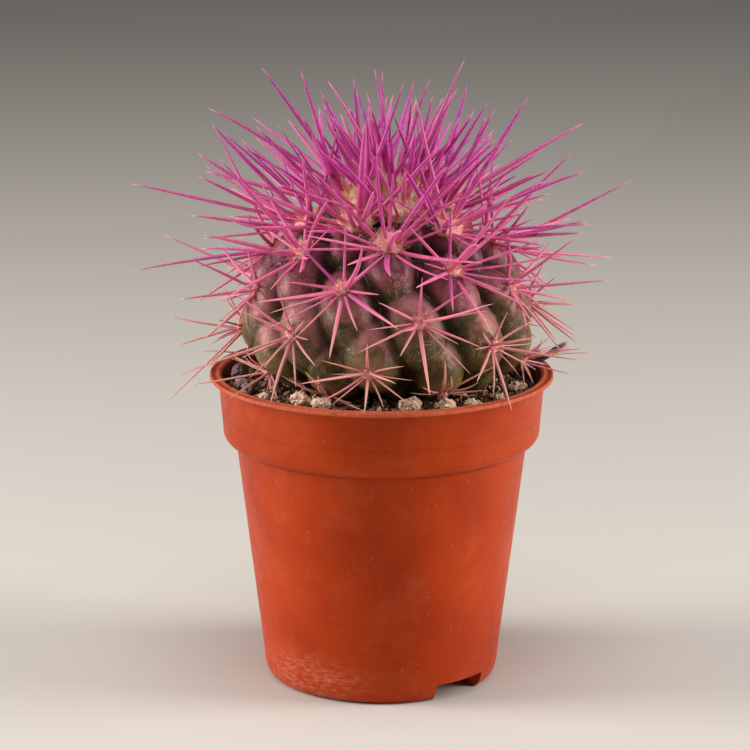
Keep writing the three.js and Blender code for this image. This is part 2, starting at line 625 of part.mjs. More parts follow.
// The soil fills the pot round the plant
function makeSoil() {
  const floor = FLOOR_UNDERSIDE + FLOOR_THICKNESS + GAP;
  const sides = [floor + FLOOR_ROUND, ...shoulderLevels(), SOIL_AT_BACK - SOIL_BEVEL];
  const outside = sides.map((z) => [potInside(z) - SOIL_GAP, z]);
  const inward = HOLE_RADIUS - RING_OVERLAP - SOIL_RADIUS;
  const rings = Array.from({ length: SOIL_RINGS }, (_, i) => [
    SOIL_RADIUS + inward * i / (SOIL_RINGS - 1), SOIL_AT_STEM,
  ]);
  const bottom = [[0, floor], [FOOT_RADIUS - FOOT_WALL - SOIL_GAP, floor]];
  const geometry = turned([...bottom, ...outside, ...rings, [0, SOIL_AT_STEM]], SOIL_SIDES);
  const position = geometry.attributes.position;
  for (let i = 0; i < position.count; i += 1) {
    const [x, y, z] = [position.getX(i), position.getY(i), position.getZ(i)];
    if (Math.abs(z - SOIL_AT_STEM) < WELD) position.setZ(i, soilHeight(x, y));
  }
  return named('soil', geometryOf(solid(geometry).subtract(plantHole())), COLOURS.soil);
}

// A rough pebble: a dodecahedron with its corners moved by seeded draws
function makeChip({ name, azimuth, middle, length, width, height }) {
  const bare = new THREE.DodecahedronGeometry(1 / 2, 0);
  bare.deleteAttribute('normal');
  bare.deleteAttribute('uv');
  const chip = mergeVertices(bare, WELD);
  const position = chip.attributes.position;
  for (let i = 0; i < position.count; i += 1) {
    const grow = draw(1 - CHIP_ROUGHNESS, 1);
    position.setXYZ(i, position.getX(i) * grow, position.getY(i) * grow, position.getZ(i) * grow);
  }
  chip.scale(length, width, height);
  chip.rotateZ((azimuth + draw(-CHIP_TURN, CHIP_TURN)) * DEGREE);
  chip.translate(middle.x, middle.y, middle.z);
  return named(name, chip, name.startsWith('bark') ? COLOURS.bark : COLOURS.chip);
}

function makeFlake() {
  const axis = flakeEnds[1].clone().sub(flakeEnds[0]);
  const flake = new THREE.CylinderGeometry(1 / 2, FLAKE_TAPER / 2, axis.length(), FLAKE_SIDES);
  flake.scale(FLAKE_WIDTH, 1, FLAKE_THICKNESS);
  const along = axis.clone().normalize();
  const across = new THREE.Vector3(Math.cos(FLAKE_AZIMUTH * DEGREE), Math.sin(FLAKE_AZIMUTH * DEGREE), 0);
  const basis = new THREE.Matrix4().makeBasis(across, along, across.clone().cross(along));
  flake.applyMatrix4(basis);
  const middle = flakeEnds[0].clone().lerp(flakeEnds[1], 0.5);
  flake.translate(middle.x, middle.y, middle.z);
  return named('bark_flake', geometryOf(solid(flake)), COLOURS.bark);
}

const model = new THREE.Group();
model.add(makePot(), makeSoil(), makeCactus(), ...chips.map(makeChip), makeFlake());

export default model;
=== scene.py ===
# A small round cactus with dyed spines, in soil with loose chips, in a thin plastic nursery pot.
# Lengths are millimetres until a mesh is made. Z is up and the front is -Y. An azimuth is counted
# from the front towards +X, in degrees.
from math import asin, atan2, copysign, cos, degrees, exp, hypot, pi, radians, sin, sqrt

import bmesh
import bpy
import numpy as np
from mathutils import Matrix, Vector, noise


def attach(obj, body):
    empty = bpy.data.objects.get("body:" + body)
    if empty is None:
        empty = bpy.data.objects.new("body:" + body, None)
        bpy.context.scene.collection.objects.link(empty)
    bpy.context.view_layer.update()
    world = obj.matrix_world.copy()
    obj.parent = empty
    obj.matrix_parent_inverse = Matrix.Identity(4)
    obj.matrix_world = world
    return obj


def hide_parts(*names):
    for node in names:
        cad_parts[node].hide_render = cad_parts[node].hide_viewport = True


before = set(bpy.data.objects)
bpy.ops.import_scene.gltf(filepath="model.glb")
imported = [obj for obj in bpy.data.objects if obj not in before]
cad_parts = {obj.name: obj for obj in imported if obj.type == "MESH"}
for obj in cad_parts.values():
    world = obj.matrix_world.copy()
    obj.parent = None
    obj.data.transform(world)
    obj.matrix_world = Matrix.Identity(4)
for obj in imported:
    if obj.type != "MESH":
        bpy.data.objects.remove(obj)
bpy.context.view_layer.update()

MM = 0.001
MERGE_DISTANCE = 1e-5
UPRIGHT = 0.9  # an axis that rises by more than this share counts as upright
HEXAGON = 2 / sqrt(3)  # square of the width of a six-sided cell of area one
FRACTAL = (1.0, 2.0)  # how fast finer octaves of a noise fade, and how much finer each is

# Pot
POT_HEIGHT = 50
LIP_RADIUS = 27.5
LIP_THICKNESS = 0.7
LIP_EDGE = 0.15
LIP_RIDGE = 0.2
COLLAR_TOP_RADIUS = 26.1
COLLAR_BOTTOM_RADIUS = 25.4
SHOULDER_TOP = 41
SHOULDER_BOTTOM = 38.5
SHOULDER_CURVE = 2.8
WALL_TOP_RADIUS = 23.3
WALL_FOOT_RADIUS = 19.0
FOOT_RADIUS = 17.4
FOOT_WALL = 1.0
FOOT_ROUND = 3.6
POT_WALL = 0.8
SHOULDER_WALL_RISE = 0.3
FLOOR_UNDERSIDE = 3.0
FLOOR_THICKNESS = 0.8
FLOOR_ROUND = 2
FLOOR_TOP = FLOOR_UNDERSIDE + FLOOR_THICKNESS
NOTCHES = [(43, 9.2, 2.7), (223, 9.2, 2.7), (-20, 9.6, 0.35), (160, 9.6, 0.35)]  # azimuth, width, height
NOTCH_EDGE = 0.03
DRAIN_RADIUS = 1.8
DRAIN_CIRCLE = 9
DRAIN_COUNT = 4
DRAIN_SIDES = 40
POT_SIDES = 180
POT_CORNER = 38  # corners sharper than this many degrees stay sharp
CURVE_STEPS = 12
COLLAR_MIDDLE = 45
WALL_CORNER = 0.25  # the wall has a ring this far under the shoulder
LIP_CORNER = 0.3
LIP_UNDER = POT_HEIGHT - LIP_THICKNESS
# Radius and height along the lip's section, from outside in
LIP_SECTION = [
    (COLLAR_TOP_RADIUS + 0.08, LIP_UNDER - 0.08), (COLLAR_TOP_RADIUS + 0.3, LIP_UNDER),
    (LIP_RADIUS - LIP_EDGE, LIP_UNDER), (LIP_RADIUS, LIP_UNDER + LIP_EDGE),
    (LIP_RADIUS, POT_HEIGHT - 0.25), (LIP_RADIUS - 0.06, POT_HEIGHT - 0.08),
    (LIP_RADIUS - 0.2, POT_HEIGHT), (LIP_RADIUS - 0.38, POT_HEIGHT - 0.04),
    (LIP_RADIUS - 0.6, POT_HEIGHT - LIP_RIDGE), (LIP_RADIUS - 0.95, POT_HEIGHT - LIP_RIDGE),
    (COLLAR_TOP_RADIUS + 0.2, POT_HEIGHT - 0.04), (COLLAR_TOP_RADIUS, POT_HEIGHT),
    (COLLAR_TOP_RADIUS - 0.25, POT_HEIGHT - 0.03), (COLLAR_TOP_RADIUS - 0.45, POT_HEIGHT - 0.2),
    (COLLAR_TOP_RADIUS - 0.58, POT_HEIGHT - 0.45),
]

# Soil
SOIL_AT_STEM = 47.8
SOIL_AT_FRONT = 48.8
SOIL_AT_BACK = 46.9
SOIL_HIGH_AZIMUTH = -20
SOIL_GAP = 0.5
SOIL_SIDES = 220
SOIL_RINGS = 30
HOLE_ROOM = 0.6
CRUMB_HEIGHT = 0.12
CRUMB_WAVES = (1.9, 0.7, 1.6, 0.5)
GRAINS = 4200
FIBRES = 300
STEM_GRAINS = 2100  # these lie against the plant, in a ring between two radii
STEM_RING = (15.4, 21.5)
STEM_HEAP = 2.7  # height of the heap that they make, and the shares of it that they lie at
STEM_HEAPS = (0.4, 1)
# grains against the plant are drawn lighter, as painted light in the shaded crevice under the body
STEM_PAINTED_LIGHT_TINTS = (0.2, 1)
SOIL_LUMPS = (0.28, 0.55, 3, 3.0)  # height, scale, octaves, offset
SOIL_FLOOR_ROOM = 0.3
SOIL_SHOULDER = (39.0, 39.8)  # rings of the soil within the shoulder
SOIL_TINT = 0.2
HOLE_HEIGHTS = (47, 46)  # rings of the bowl under the plant
GROUND_FROM = 14.5  # loose grains lie further out than this
EDGE_ROOM = 0.4  # and this far inside the soil's edge
GRAIN_SIZE = (0.18, 0.62, 3)  # the least, what is added to it and the power of that draw
GRAIN_RISE = (-0.1, 0.55)
GRAIN_FLAT = ((0.4, 0.9), (0.3, 0.7))
GRAIN_ROUGH = (0.7, 1.15)
CRUMB_AWAY = 2.6  # crumbs lie this far round a chip
CRUMB_TINTS = (0.8, 1)
FIBRE_RISE = (-0.05, 0.25)
FIBRE_BEND = (0.25, (0, 0.3))  # share of the length, and its rise
FIBRE_LENGTH = (1.5, 4.5)
FIBRE_RADIUS = (0.04, 0.11)
FIBRE_STEPS = 6
FIBRE_ABOVE = 0.35
FIBRE_CLIMB = 0.15
FIBRE_ROOM = (0.2, 0.3)  # to the plant and to the wall
FIBRE_TIP = 0.6
FIBRE_SIDES = 5
FIBRE_TINTS = (0.4, 1)

# Cactus body
BODY_X = 0.9
BODY_Z = 58
BODY_RADIUS = 22.9
BODY_ABOVE = 19
BODY_BELOW = 12.5
BODY_SQUARENESS = 2.2
OUTLINE_STEPS = 400
OUTLINE_END = 0.97 * pi
SKIN_LEVEL = 7
SPIRAL_TURN = 137.508
SPIRAL_AZIMUTH = 12.4
SPIRAL_ZERO = 26
SPIRAL_STEP = 1.467
SPIRAL_POWER = 0.912
CUSHIONS = 43
LOWEST_CUSHION = 50.4
KNOBS = 62
KNOB_DEPTH = 0.6
KNOB_SQUEEZE = 1.6  # knobs are taller than wide
RIB_STEP = 13  # a knob and the one this many further down stand on one rib
RIB_TURN = 5 * 360 - RIB_STEP * SPIRAL_TURN
CONE_KNOBS = (20, 36)  # from the first to the second of these, ridges turn into cones
KNOB_ROUNDNESS = (3, 2.1)
KNOB_BELOW_CUSHION = (0.2, -0.12)
KNOB_BULGE = (0, 0.8)
KNOB_SIGHT = 0.3  # a knob shapes the skin where the cosine of the angle to it is above this
CROWN_RADIUS = 1.2
GROOVE_SHARPNESS = 2.6
FINE_SHARPNESS = 9
FINE_DEPTH = 0.86
LOW_FLATTER = 0.32  # grooves between the lowest knobs are shallower by this share
FINE_SQUEEZE = 1.62
CHIN = 0.13  # a knob stands out further towards its lower end, by this much a millimetre
CHIN_ROOM = 0.5
RIM_SPAN = (5.5, 1)  # low knobs grow pale from this far to this near their cushions
GROOVE_DEEPEST = 5
UNFELT = 1e-30  # stands in for nothing, which has no logarithm
ROOT_OUTLINE = [(1.6, 27), (3.85, 37), (7, 45)]
ROOT_TOP = 48
ROOT_STEP = 15
# the buried root gets this much of the painted groove shade
ROOT_PAINTED_SHADE = 0.8
BODY_CENTRE = np.array([BODY_X, 0, BODY_Z])
BODY_SHIFT = np.array([BODY_X, 0, 0])
SKIN_LUMPS = [(0.16, 9, 2, 0), (0.05, 40, 2, 5)]  # height, scale, octaves, offset
SKIN_SUNK = 0.05
GROOVE_SMOOTHER = 0.7  # lumps are lower by this share in grooves this deep
SMOOTH_DEPTH = 2
# grooves this deep get the full painted shade
SHADE_DEPTH = 3
DYE_RISE = 0.045  # upper skin is dyed: by height, by where it faces and by patches
DYE_HEIGHT = 61
DYE_PATCH = (5, 3, 11.0)
DYE_PATCHY = 0.45
DYE_SPAN = (-0.35, 0.75)
YOUNG_FADE = 6  # over this many cushions, being young falls to about a third

# Woolly cushions and spines
PAD_RADIUS = 1.3
PAD_UPPER_WIDER = 1.7
PAD_LOW_NARROWER = 0.15
CROWN_WOOL_WIDER = 1.4
CROWN_WOOL_TALLER = 6.5
WOOL_HEIGHT = 0.8
WOOL_SUNK = 0.1
WOOL_FULL_WIDTH = 9
WOOL_SMALLEST = 0.75
WOOL_TALL = (0.8, 0.5)  # share of the height on a low cushion, and what is added on a high one
PAD_LEVEL = 3
PAD_LUMPS = [(0.3, 2.4, 4, 0), (0.14, 7, 2, 3)]  # height, scale, octaves, offset
PAD_SHAPE = (0.75, 0.9, 0.75)
PAD_TINT = (3.5, 2, 7)
HEART_SPAN = (1.1, 0.3)
HAIRS = (140, 480)  # hairs on a low cushion, and how many more a high one has
HAIR_RING = (0.9, 1.1)  # reach of the hairs, as shares of the pad's radius across and along
HAIR_OUTWARD = 0.7
HAIR_LEAN = (-0.8, 0.8)
HAIR_RISE = (0.6, 1.6)  # on an old cushion, and what is added on a young one
HAIR_ROOT = (0.9, 0.6)  # shares of the reach and of the pad's height
HAIR_LENGTH = (0.4, 1.1)
HAIR_LONGER = (0.3, 2.2)  # added on high and on young cushions
HAIR_LOW_SHORTER = 0.3
HAIR_CURL = ((-0.4, 0.4), (-0.4, 0.4), (-0.3, 0.1))
HAIR_BEND = (0.55, 0.2)  # shares of the length and of the curl
HAIR_RADIUS = (0.05, 0.03)  # on an old cushion, and what is added on a young one
HAIR_TIP = 0.8
HAIR_HEART = (0, 0.8)
SPINE_RING = 1.1
INNER_RING = 0.44
OUTER_SPINE_RADIUS = 0.47
INNER_SPINE_RADIUS = 0.52
LOW_THINNER = 0.5
THICK_CUSHIONS = 9
MORE_FLAT_TURNS = (-92, 92, -31, 31)  # from straight down, between those of the plain model
MORE_FLAT_SPREAD = 11
MORE_FLAT_RISE = (11, 32)
MORE_STEEP_RISE = (15, 62)
MORE_RING = (0.6, 0.9)
MORE_LENGTHS = (0.5, 1.05)
MORE_RADII = (0.55, 0.9)
STEEP_SHORTER = 0.8
STEEP_REACH = (0.3, 0.5)  # how near they come to the ball, on a low cushion and what a high one adds
MORE_STEEP = (1, 4)  # steep spines that a low and a high cushion have besides
STEEP_SPREAD = 105
ROOT_SHARE = 0.5
UPPER_ROOT_SHARE = 0.8
ROOT_SUNK = 0.5
SKIN_ROOM = 0.25
DEEPEST_LIFT = 2.6
BOW = 0.2
HOOKED_SHARE = 0.08
HOOKED_LENGTH = 9
HOOKS = (0.25, 0.7)
STRAIGHTS = (0, 0.1)
HOOK_POWER = 5
FREE_SHARES = (0.15, 0.9)  # between these a spine stays off the skin
SPINE_SIZES = (0.85, 1.2)
SPINE_FLAT = 0.72
SPINE_TURNS = (0, 3)
SPINE_TAPER = (2.4, 1.6, 0.8)  # power along a spine, what the crown adds to it, and power of the rest
SPINE_SIDES = 6
SPINE_RINGS = 14
OUTER_SPINES = 6
CROWN_CUSHIONS = 4
CROWN_OUTER_SPINES = 5
INNER_SPINES = 2
UPPER_CUSHIONS = 16
UPPER_INNER_SPINES = 3
DOWN = -90
OUTER_SPREAD = 9
INNER_SPREAD = 40
OUTER_RISE = 24
CROWN_RISE = 30
CROWN_RISE_FADE = 9
INNER_RISE = 64
RISE_SPREAD = 8
LIFT = 0.2
CROWN_FADE = 14
OUTER_LENGTH = 6
CROWN_LENGTH = 14
LENGTH_FADE = 24
OUTER_LENGTHS = (0.84, 1.14)
UPWARD_SHORTER = 0.4
INNER_LENGTHS = (0.8, 1.08)
BALL_Z = 63
BALL_RADIUS = 41
BALL_HALF_HEIGHT = 34.5
LOW_CUSHION = 28
LOW_SHORTER = 0.4
REACH = 40
REACH_UP = 100.8
SEED = 627921278
FINE_SEED = 517
DRAW_FACTOR = 1664525
DRAW_STEP = 1013904223
DRAW_RANGE = 2 ** 32
# Long spines that stand out in the photo: cushion, then x, y and z of the tip
LONG_SPINES = [
    (1, 0, 2, 98), (2, 13, -1.5, 100.8), (3, -19, -2.5, 99.5), (3, -27.5, -2.5, 93),
    (3, -4.5, -2.5, 98), (5, -8.5, -9.5, 98.5), (6, -13, 5.5, 98), (6, -28.5, 5.5, 81.5),
    (7, 13.5, 3.5, 96), (7, 32, 1.5, 90), (7, 18, 3.5, 92), (8, 3.5, -13, 99),
    (10, 23, -4.5, 95.5), (10, 31.5, -11.5, 84.5), (10, 5, -11.5, 96.5), (11, -27, -2, 90.5),
    (11, -40, -0.5, 80.5), (15, 30, -2.5, 86), (15, 32.5, -2.5, 75), (15, 32, -2.5, 73),
    (16, -25, -16.5, 87.5), (16, -27.5, -16.5, 75.5), (19, -40, 3, 65.5), (20, 40, 5.5, 80),
    (20, 38, 14.5, 65.5), (24, -31.5, -10.5, 64), (24, -30, -10.5, 70.5), (28, 31.5, 3.5, 55.5),
    (28, 31.5, 3.5, 60), (32, -35, 1.5, 44), (32, -33.5, 1.5, 53.5), (32, -34, 1.5, 58.5),
    (36, 32, -7.5, 55.5),
]
SOIL_ROOM = 0.8
LIP_ROOM = 0.7
LIP_INSIDE = 1.4
CHIP_ROOM = 0.45
BEND_STEP = 0.09
BEND_TRIALS = 20
BEND_SHORTER = 0.7
CLEAR_SAMPLES = 12

# Loose pieces: azimuth, distance from the middle, length, width, height
CHIPS = {
    "chip_1": (-35, 21.8, 3.2, 2.6, 2.1),
    "chip_2": (-25, 22.1, 2.9, 2.2, 1.8),
    "chip_3": (-52, 23.3, 1.9, 1.5, 1.1),
    "chip_4": (12, 21.2, 3.3, 2.4, 2.2),
    "chip_5": (26, 22.2, 3.2, 2.2, 1.9),
    "chip_6": (39, 22.0, 2.5, 1.7, 1.3),
    "chip_7": (55, 22.4, 1.8, 1.4, 1.2),
    "chip_8": (78, 22.0, 3.8, 2.6, 1.1),
    "chip_9": (132, 22.0, 2.6, 2.1, 1.4),
    "chip_10": (171, 22.4, 2.3, 1.8, 1.3),
    "chip_11": (214, 22.0, 2.9, 2.0, 1.4),
    "bark_1": (-93, 22.8, 6.2, 2.7, 2.3),
    "bark_2": (-74, 22.7, 6.2, 2.4, 1.7),
}
CHIP_LIFT = 0.4
FACETS = 14
CHIP_CRUMBS = 18
CHIP_STRETCH = np.array([2.4, 2.4, 2.4])
BARK_STRETCH = np.array([2.2, 4.6, 4.6])
BARK_LONGER = np.array([1.2, 0.9, 0.95])
LUMP_LEVEL = 5
LUMP_START = 1.15
LUMP_LARGEST = 1.12
LUMP_SHIFTS = 50
LUMP_BUMPS = (0.16, 2.5, 5, 9)  # height, scale, octaves, offset
FACET_REACH = (0.8, 1.0)
FACET_SIGHT = 0.3
FOLD_WIDTH = 0.2
FOLD_MEAN = 0.25
FOLD_DEPTH = 0.5
CHIP_SMOOTHER = 0.5
UNDERSIDE_DEEPER = 1.25
LUMP_ROUGHNESS = 0.45
LUMP_SUNK = np.array([0, 0, 0.2])
CHIP_GRAINS = 90
CHIP_GRAIN_SIZE = (0.1, 0.13)  # the least, and what is added for a chip of 1 mm
CHIP_GRAIN_DEPTH = (0.85, 1)
CHIP_GRAIN_ROUGH = (0.75, 1.15)
CHIP_GRAIN_FLAT = ((0.5, 1), (0.5, 0.9))
FLAKE_AZIMUTH = 101
FLAKE_INNER = (21.8, 48.75)
FLAKE_OUTER = (30.2, 53.1)
FLAKE_WIDTH = 2.2
FLAKE_THICKNESS = 0.9
FLAKE_BALLS = 8
FLAKE_GRID = (40, 22)
FLAKE_NARROW = 0.72
FLAKE_RAGGED = 0.16
FLAKE_RAGGED_SCALES = (7, 9, 2)
FLAKE_WIDE_TAPER = (0.35, 6, 5)  # share left at the ends, and how fast it grows from either end
FLAKE_THICK_TAPER = (0.3, 6, 4)
FLAKE_BOW = 0.25
FRAYS = 60
FRAY_PLACES = ((0.8, 0.97), (-0.8, 0.8), (-0.2, 0.25))
FRAY_LEANS = ((-0.9, 0.9), (-0.7, 0.9))
FRAY_LENGTH = (0.6, 1.5)
FRAY_BEND = 0.6
FRAY_RADII = [0.05, 0.04]

# Layers of colour. The first row is the colour beneath. Each row after it has a label, then the steps of its
# mask and then its colour. A step is a value or a noise, the span that it rises over, and from what to what
# it goes there. A noise is its scale, detail, roughness, stretch and distortion.
POT_SPECKS = (0.8, (1, 1, 1), 0, (0.1, 0.04), (0.55, 0.65))  # scale, stretch, channel, sizes, share picked
POT_DASHES = (0.9, (1, 1, 0.22), 1, (0.06, 0.015), (0.5, 0.6))
DASH_STRENGTH = 0.6
SCUFF_MIDDLE = (-12, -14, 3.5)
SCUFF_STRETCH = (0.8, 0.8, 2.2)
POT_DRAG = (1.2, 4, 0.6, (1, 1, 0.05))
ON_LIP = ("height", 49.2, 49.5)
LIP_DUST = ((1.5, 5, 0.7), 0.3, 0.65, 0.3, 1)
DUST_ROUGHER = 0.3
POT_LAYERS = [
    (0.43, 0.040, 0.003),
    ("patches", ((0.07, 2), 0.35, 0.7), (0.345, 0.027, 0.002)),
    ("drag marks", (POT_DRAG, 0.5, 0.8, 0, 0.06), (0.62, 0.10, 0.02)),
    ("haze", ((0.16, 5, 0.65), 0.48, 0.72, 0, 0.1), (0.66, 0.20, 0.10)),
    ("specks and dashes", ("marks", 0.5), (0.80, 0.42, 0.28)),
    ("scuff", ("from scuff", 12, 4), ((1.1, 6, 0.75, (0.6, 0.6, 2.2)), 0.42, 0.7, 0, 0.32),
     (0.76, 0.42, 0.30)),
    # Painted shade: a dark band along the lower edge of the shoulder, where the collar overhangs the wall.
    ("painted shade under the shoulder", ("height", 38.2, 38.55), ("height", 39.1, 38.7, 0, 0.4), (0.17, 0.015, 0.002)),
    ("dusty lip", ("dust", 0.6), (0.66, 0.20, 0.12)),
    # Painted shade: the rut between the lip's two ridges is darker.
    ("painted shade in the rut of the lip", ("radius", 26.3, 26.5), ("radius", 27.15, 26.9), ("on lip", 0.6),
     (0.30, 0.036, 0.012)),
    # Painted shade, in patches, on the inner wall above the soil.
    ("painted shade inside", ("radius", 25.65, 25.55), ("height", 43, 44), ((1.1, 4, 0.6), 0.3, 0.7, 0.7, 0.95),
     (0.085, 0.018, 0.009)),
]
POT_ROUGHNESS = ((0.5, 4), 0.3, 0.7, 0.38, 0.5)

SKIN_MOTTLE = (0.35, 4, 0.6)
SKIN_CELLS = 2.6
SCARS = (0.16, 5, 0.7, (1, 1, 0.5), 1.4)
RIM_STRENGTH = 0.6
RIM_PATCHES = ((0.4, 3), 0.25, 0.6, 0.4, 1)
DYE_PATCHES = ((0.9, 4, 0.6), 0.3, 0.7, -0.22, 0.22)
SKIN_LAYERS = [
    (0.036, 0.030, 0.006),
    ("mottle", (SKIN_MOTTLE, 0.35, 0.65), (0.082, 0.066, 0.013)),
    ("pale below", ("height", 60, 49), ((0.22, 2), 0.42, 0.66, 0, 0.32), (0.40, 0.33, 0.08)),
    ("pale rims", ("pale rim", RIM_STRENGTH), (0.46, 0.27, 0.15)),
    ("dye", ("dyed",), [
        (0.125, 0.022, 0.045),
        ("patches", ((0.5, 5, 0.65), 0.3, 0.7), (0.290, 0.085, 0.115)),
        # Partly painted highlight: the dyed upward faces of the low knobs are a lighter pink, which is dye
        # and also stands in for light from above.
        ("pink dye and painted highlight below", ("height", 71, 59), ((0.7, 4, 0.6), 0.3, 0.7, 0.55, 1), (0.50, 0.21, 0.19)),
    ]),
    # Painted shade: the skin is darker the deeper it lies in a groove, with some reddish patches.
    ("painted shade in grooves", ("groove", 0.16, 0.8, 0, 0.88), [
        (0.020, 0.021, 0.004),
        ("patches", ((0.3, 2), 0.4, 0.6), (0.032, 0.014, 0.012)),
    ]),
    ("dots", ("cells", 0.28, 0.1, 0, 0.2), (0.42, 0.34, 0.27)),
    ("scars", ("scars", 0.008, 0.001), ((0.11, 1), 0.52, 0.6, 0, 0.45), (0.62, 0.58, 0.42)),
]
SKIN_ROUGHNESS = (SKIN_MOTTLE, 0.3, 0.7, 0.24, 0.38)

YOUNG_BASE = 0.36  # of a young and an old spine, this share is the colour of its base
OLD_BASE = 0.12
TIP_SPREAD = 0.05
BAND_LENGTH = 0.45
SPINE_LAYERS = [
    (0.66, 0.33, 0.26),
    ("salmon", ("height", 50, 60), (0.72, 0.27, 0.28)),
    ("pink", ("height", 58, 71), (0.83, 0.165, 0.36)),
    ("magenta", ("height", 73, 86), (0.57, 0.050, 0.33)),
    ("violet crown", ("height", 86, 96), (0.33, 0.036, 0.225)),
    ("streaks", ((0.9, 2, 0.5, (1, 1, 0.4)), 0.42, 0.66, 0, 0.42), ("height", 60, 76), (0.42, 0.034, 0.35)),
    ("violet ones", ("tint", 0.35, 0.05, 0, 0.6), ("height", 58, 70), (0.40, 0.034, 0.37)),
    ("bright ones", ("tint", 0.6, 1, 0, 0.5), (0.80, 0.22, 0.42)),
    ("faded ends", ("run", 0.35, 0.95, 0, 0.6), ("height", 74, 58), (0.76, 0.38, 0.28)),
    ("bases", ("base", 0, 0.7, 0, 0.92), [
        (0.78, 0.20, 0.20),
        ("young", ("young", 0.1, 0.7), (1.0, 0.72, 0.34)),
    ]),
    ("tips", ("tip", 0.9, 1.0, 0, 0.75), ("height", 84, 66, 0.3, 1), (0.80, 0.56, 0.40)),
    ("worn", ((1.4, 4, 0.7), 0.48, 0.78, 0, 0.3), (0.84, 0.34, 0.48)),
]

WOOL_LAYERS = [
    (0.88, 0.38, 0.38),
    ("young", ("young", 0.08, 0.6), (1.0, 0.86, 0.58)),
    ("red tufts", ("tint", 0.4, 0.75, 0, 0.8), (0.78, 0.17, 0.27)),
    ("pale tufts", ("tint", 0.3, 0.1, 0, 0.7), (1.0, 0.74, 0.50)),
    ("heart", ("heart",), ((0.9, 3), 0.3, 0.6), [
        (0.80, 0.20, 0.20),
        ("young", ("young", 0.1, 0.6), (1.0, 0.66, 0.24)),
    ]),
    ("dark patches", ((2.2, 3), 0.5, 0.75, 0, 0.4), (0.80, 0.24, 0.24)),
    ("fluff", ((3.4, 3, 0.7), 0.46, 0.58, 0, 0.8), ("young", 0.75, 0.2), (1.0, 0.70, 0.58)),
    ("flecks", ((4.2, 2, 0.6), 0.56, 0.64, 0, 0.85), ("young", 0.75, 0.2), (0.72, 0.11, 0.22)),
]

SOIL_GRAIN = (2.2, 5, 0.7)
SOIL_STEP = ("grain", (SOIL_GRAIN, 0.3, 0.7))
SOIL_LAYERS = [
    [(0.030, 0.015, 0.009), (*SOIL_STEP, (0.13, 0.066, 0.040))],
    ("brown", ("tint", 0.36, 0.48), [(0.17, 0.085, 0.05), (*SOIL_STEP, (0.42, 0.25, 0.16))]),
    ("mauve", ("tint", 0.66, 0.74), [(0.24, 0.12, 0.09), (*SOIL_STEP, (0.54, 0.32, 0.24))]),
    ("pale", ("tint", 0.84, 0.9), [(0.56, 0.36, 0.22), (*SOIL_STEP, (0.90, 0.70, 0.48))]),
]
CHIP_LAYERS = [
    (0.74, 0.50, 0.32),
    ("pale patches", ((1.3, 4, 0.6), 0.35, 0.65), (0.95, 0.80, 0.62)),
    ("rosy patches", ((0.6, 3), 0.45, 0.65, 0, 0.6), (0.86, 0.50, 0.42)),
    ("pale grains", ("tint", 0.75, 1, 0, 0.8), (0.98, 0.86, 0.66)),
    ("brown grains", ("tint", 0.25, 0, 0, 0.7), (0.50, 0.28, 0.20)),
    # Painted shade in the chip's creases.
    ("pits", ("pit", 0.3, 1, 0, 0.5), (0.42, 0.22, 0.14)),
    ("dark spots", ((2.8, 3, 0.6), 0.6, 0.72, 0, 0.6), (0.26, 0.13, 0.08)),
]
BARK_LAYERS = [
    (0.15, 0.085, 0.10),
    ("pale", ((1.3, 5, 0.65), 0.35, 0.65), (0.46, 0.33, 0.36)),
    ("brown", ((0.5, 2), 0.48, 0.62, 0, 0.75), (0.24, 0.11, 0.08)),
    # Painted shade in the bark's folds.
    ("folds", ("pit", 0.3, 1, 0, 0.85), (0.04, 0.022, 0.026)),
]
FLAKE_LAYERS = [
    (0.045, 0.018, 0.040),
    ("pale", ((1.2, 4), 0.35, 0.65), (0.14, 0.06, 0.10)),
    ("pink end", ("run", 0.72, 0.95, 0, 0.85), (0.55, 0.24, 0.30)),
]
FLOOR_COLOUR = (0.60, 0.575, 0.54)

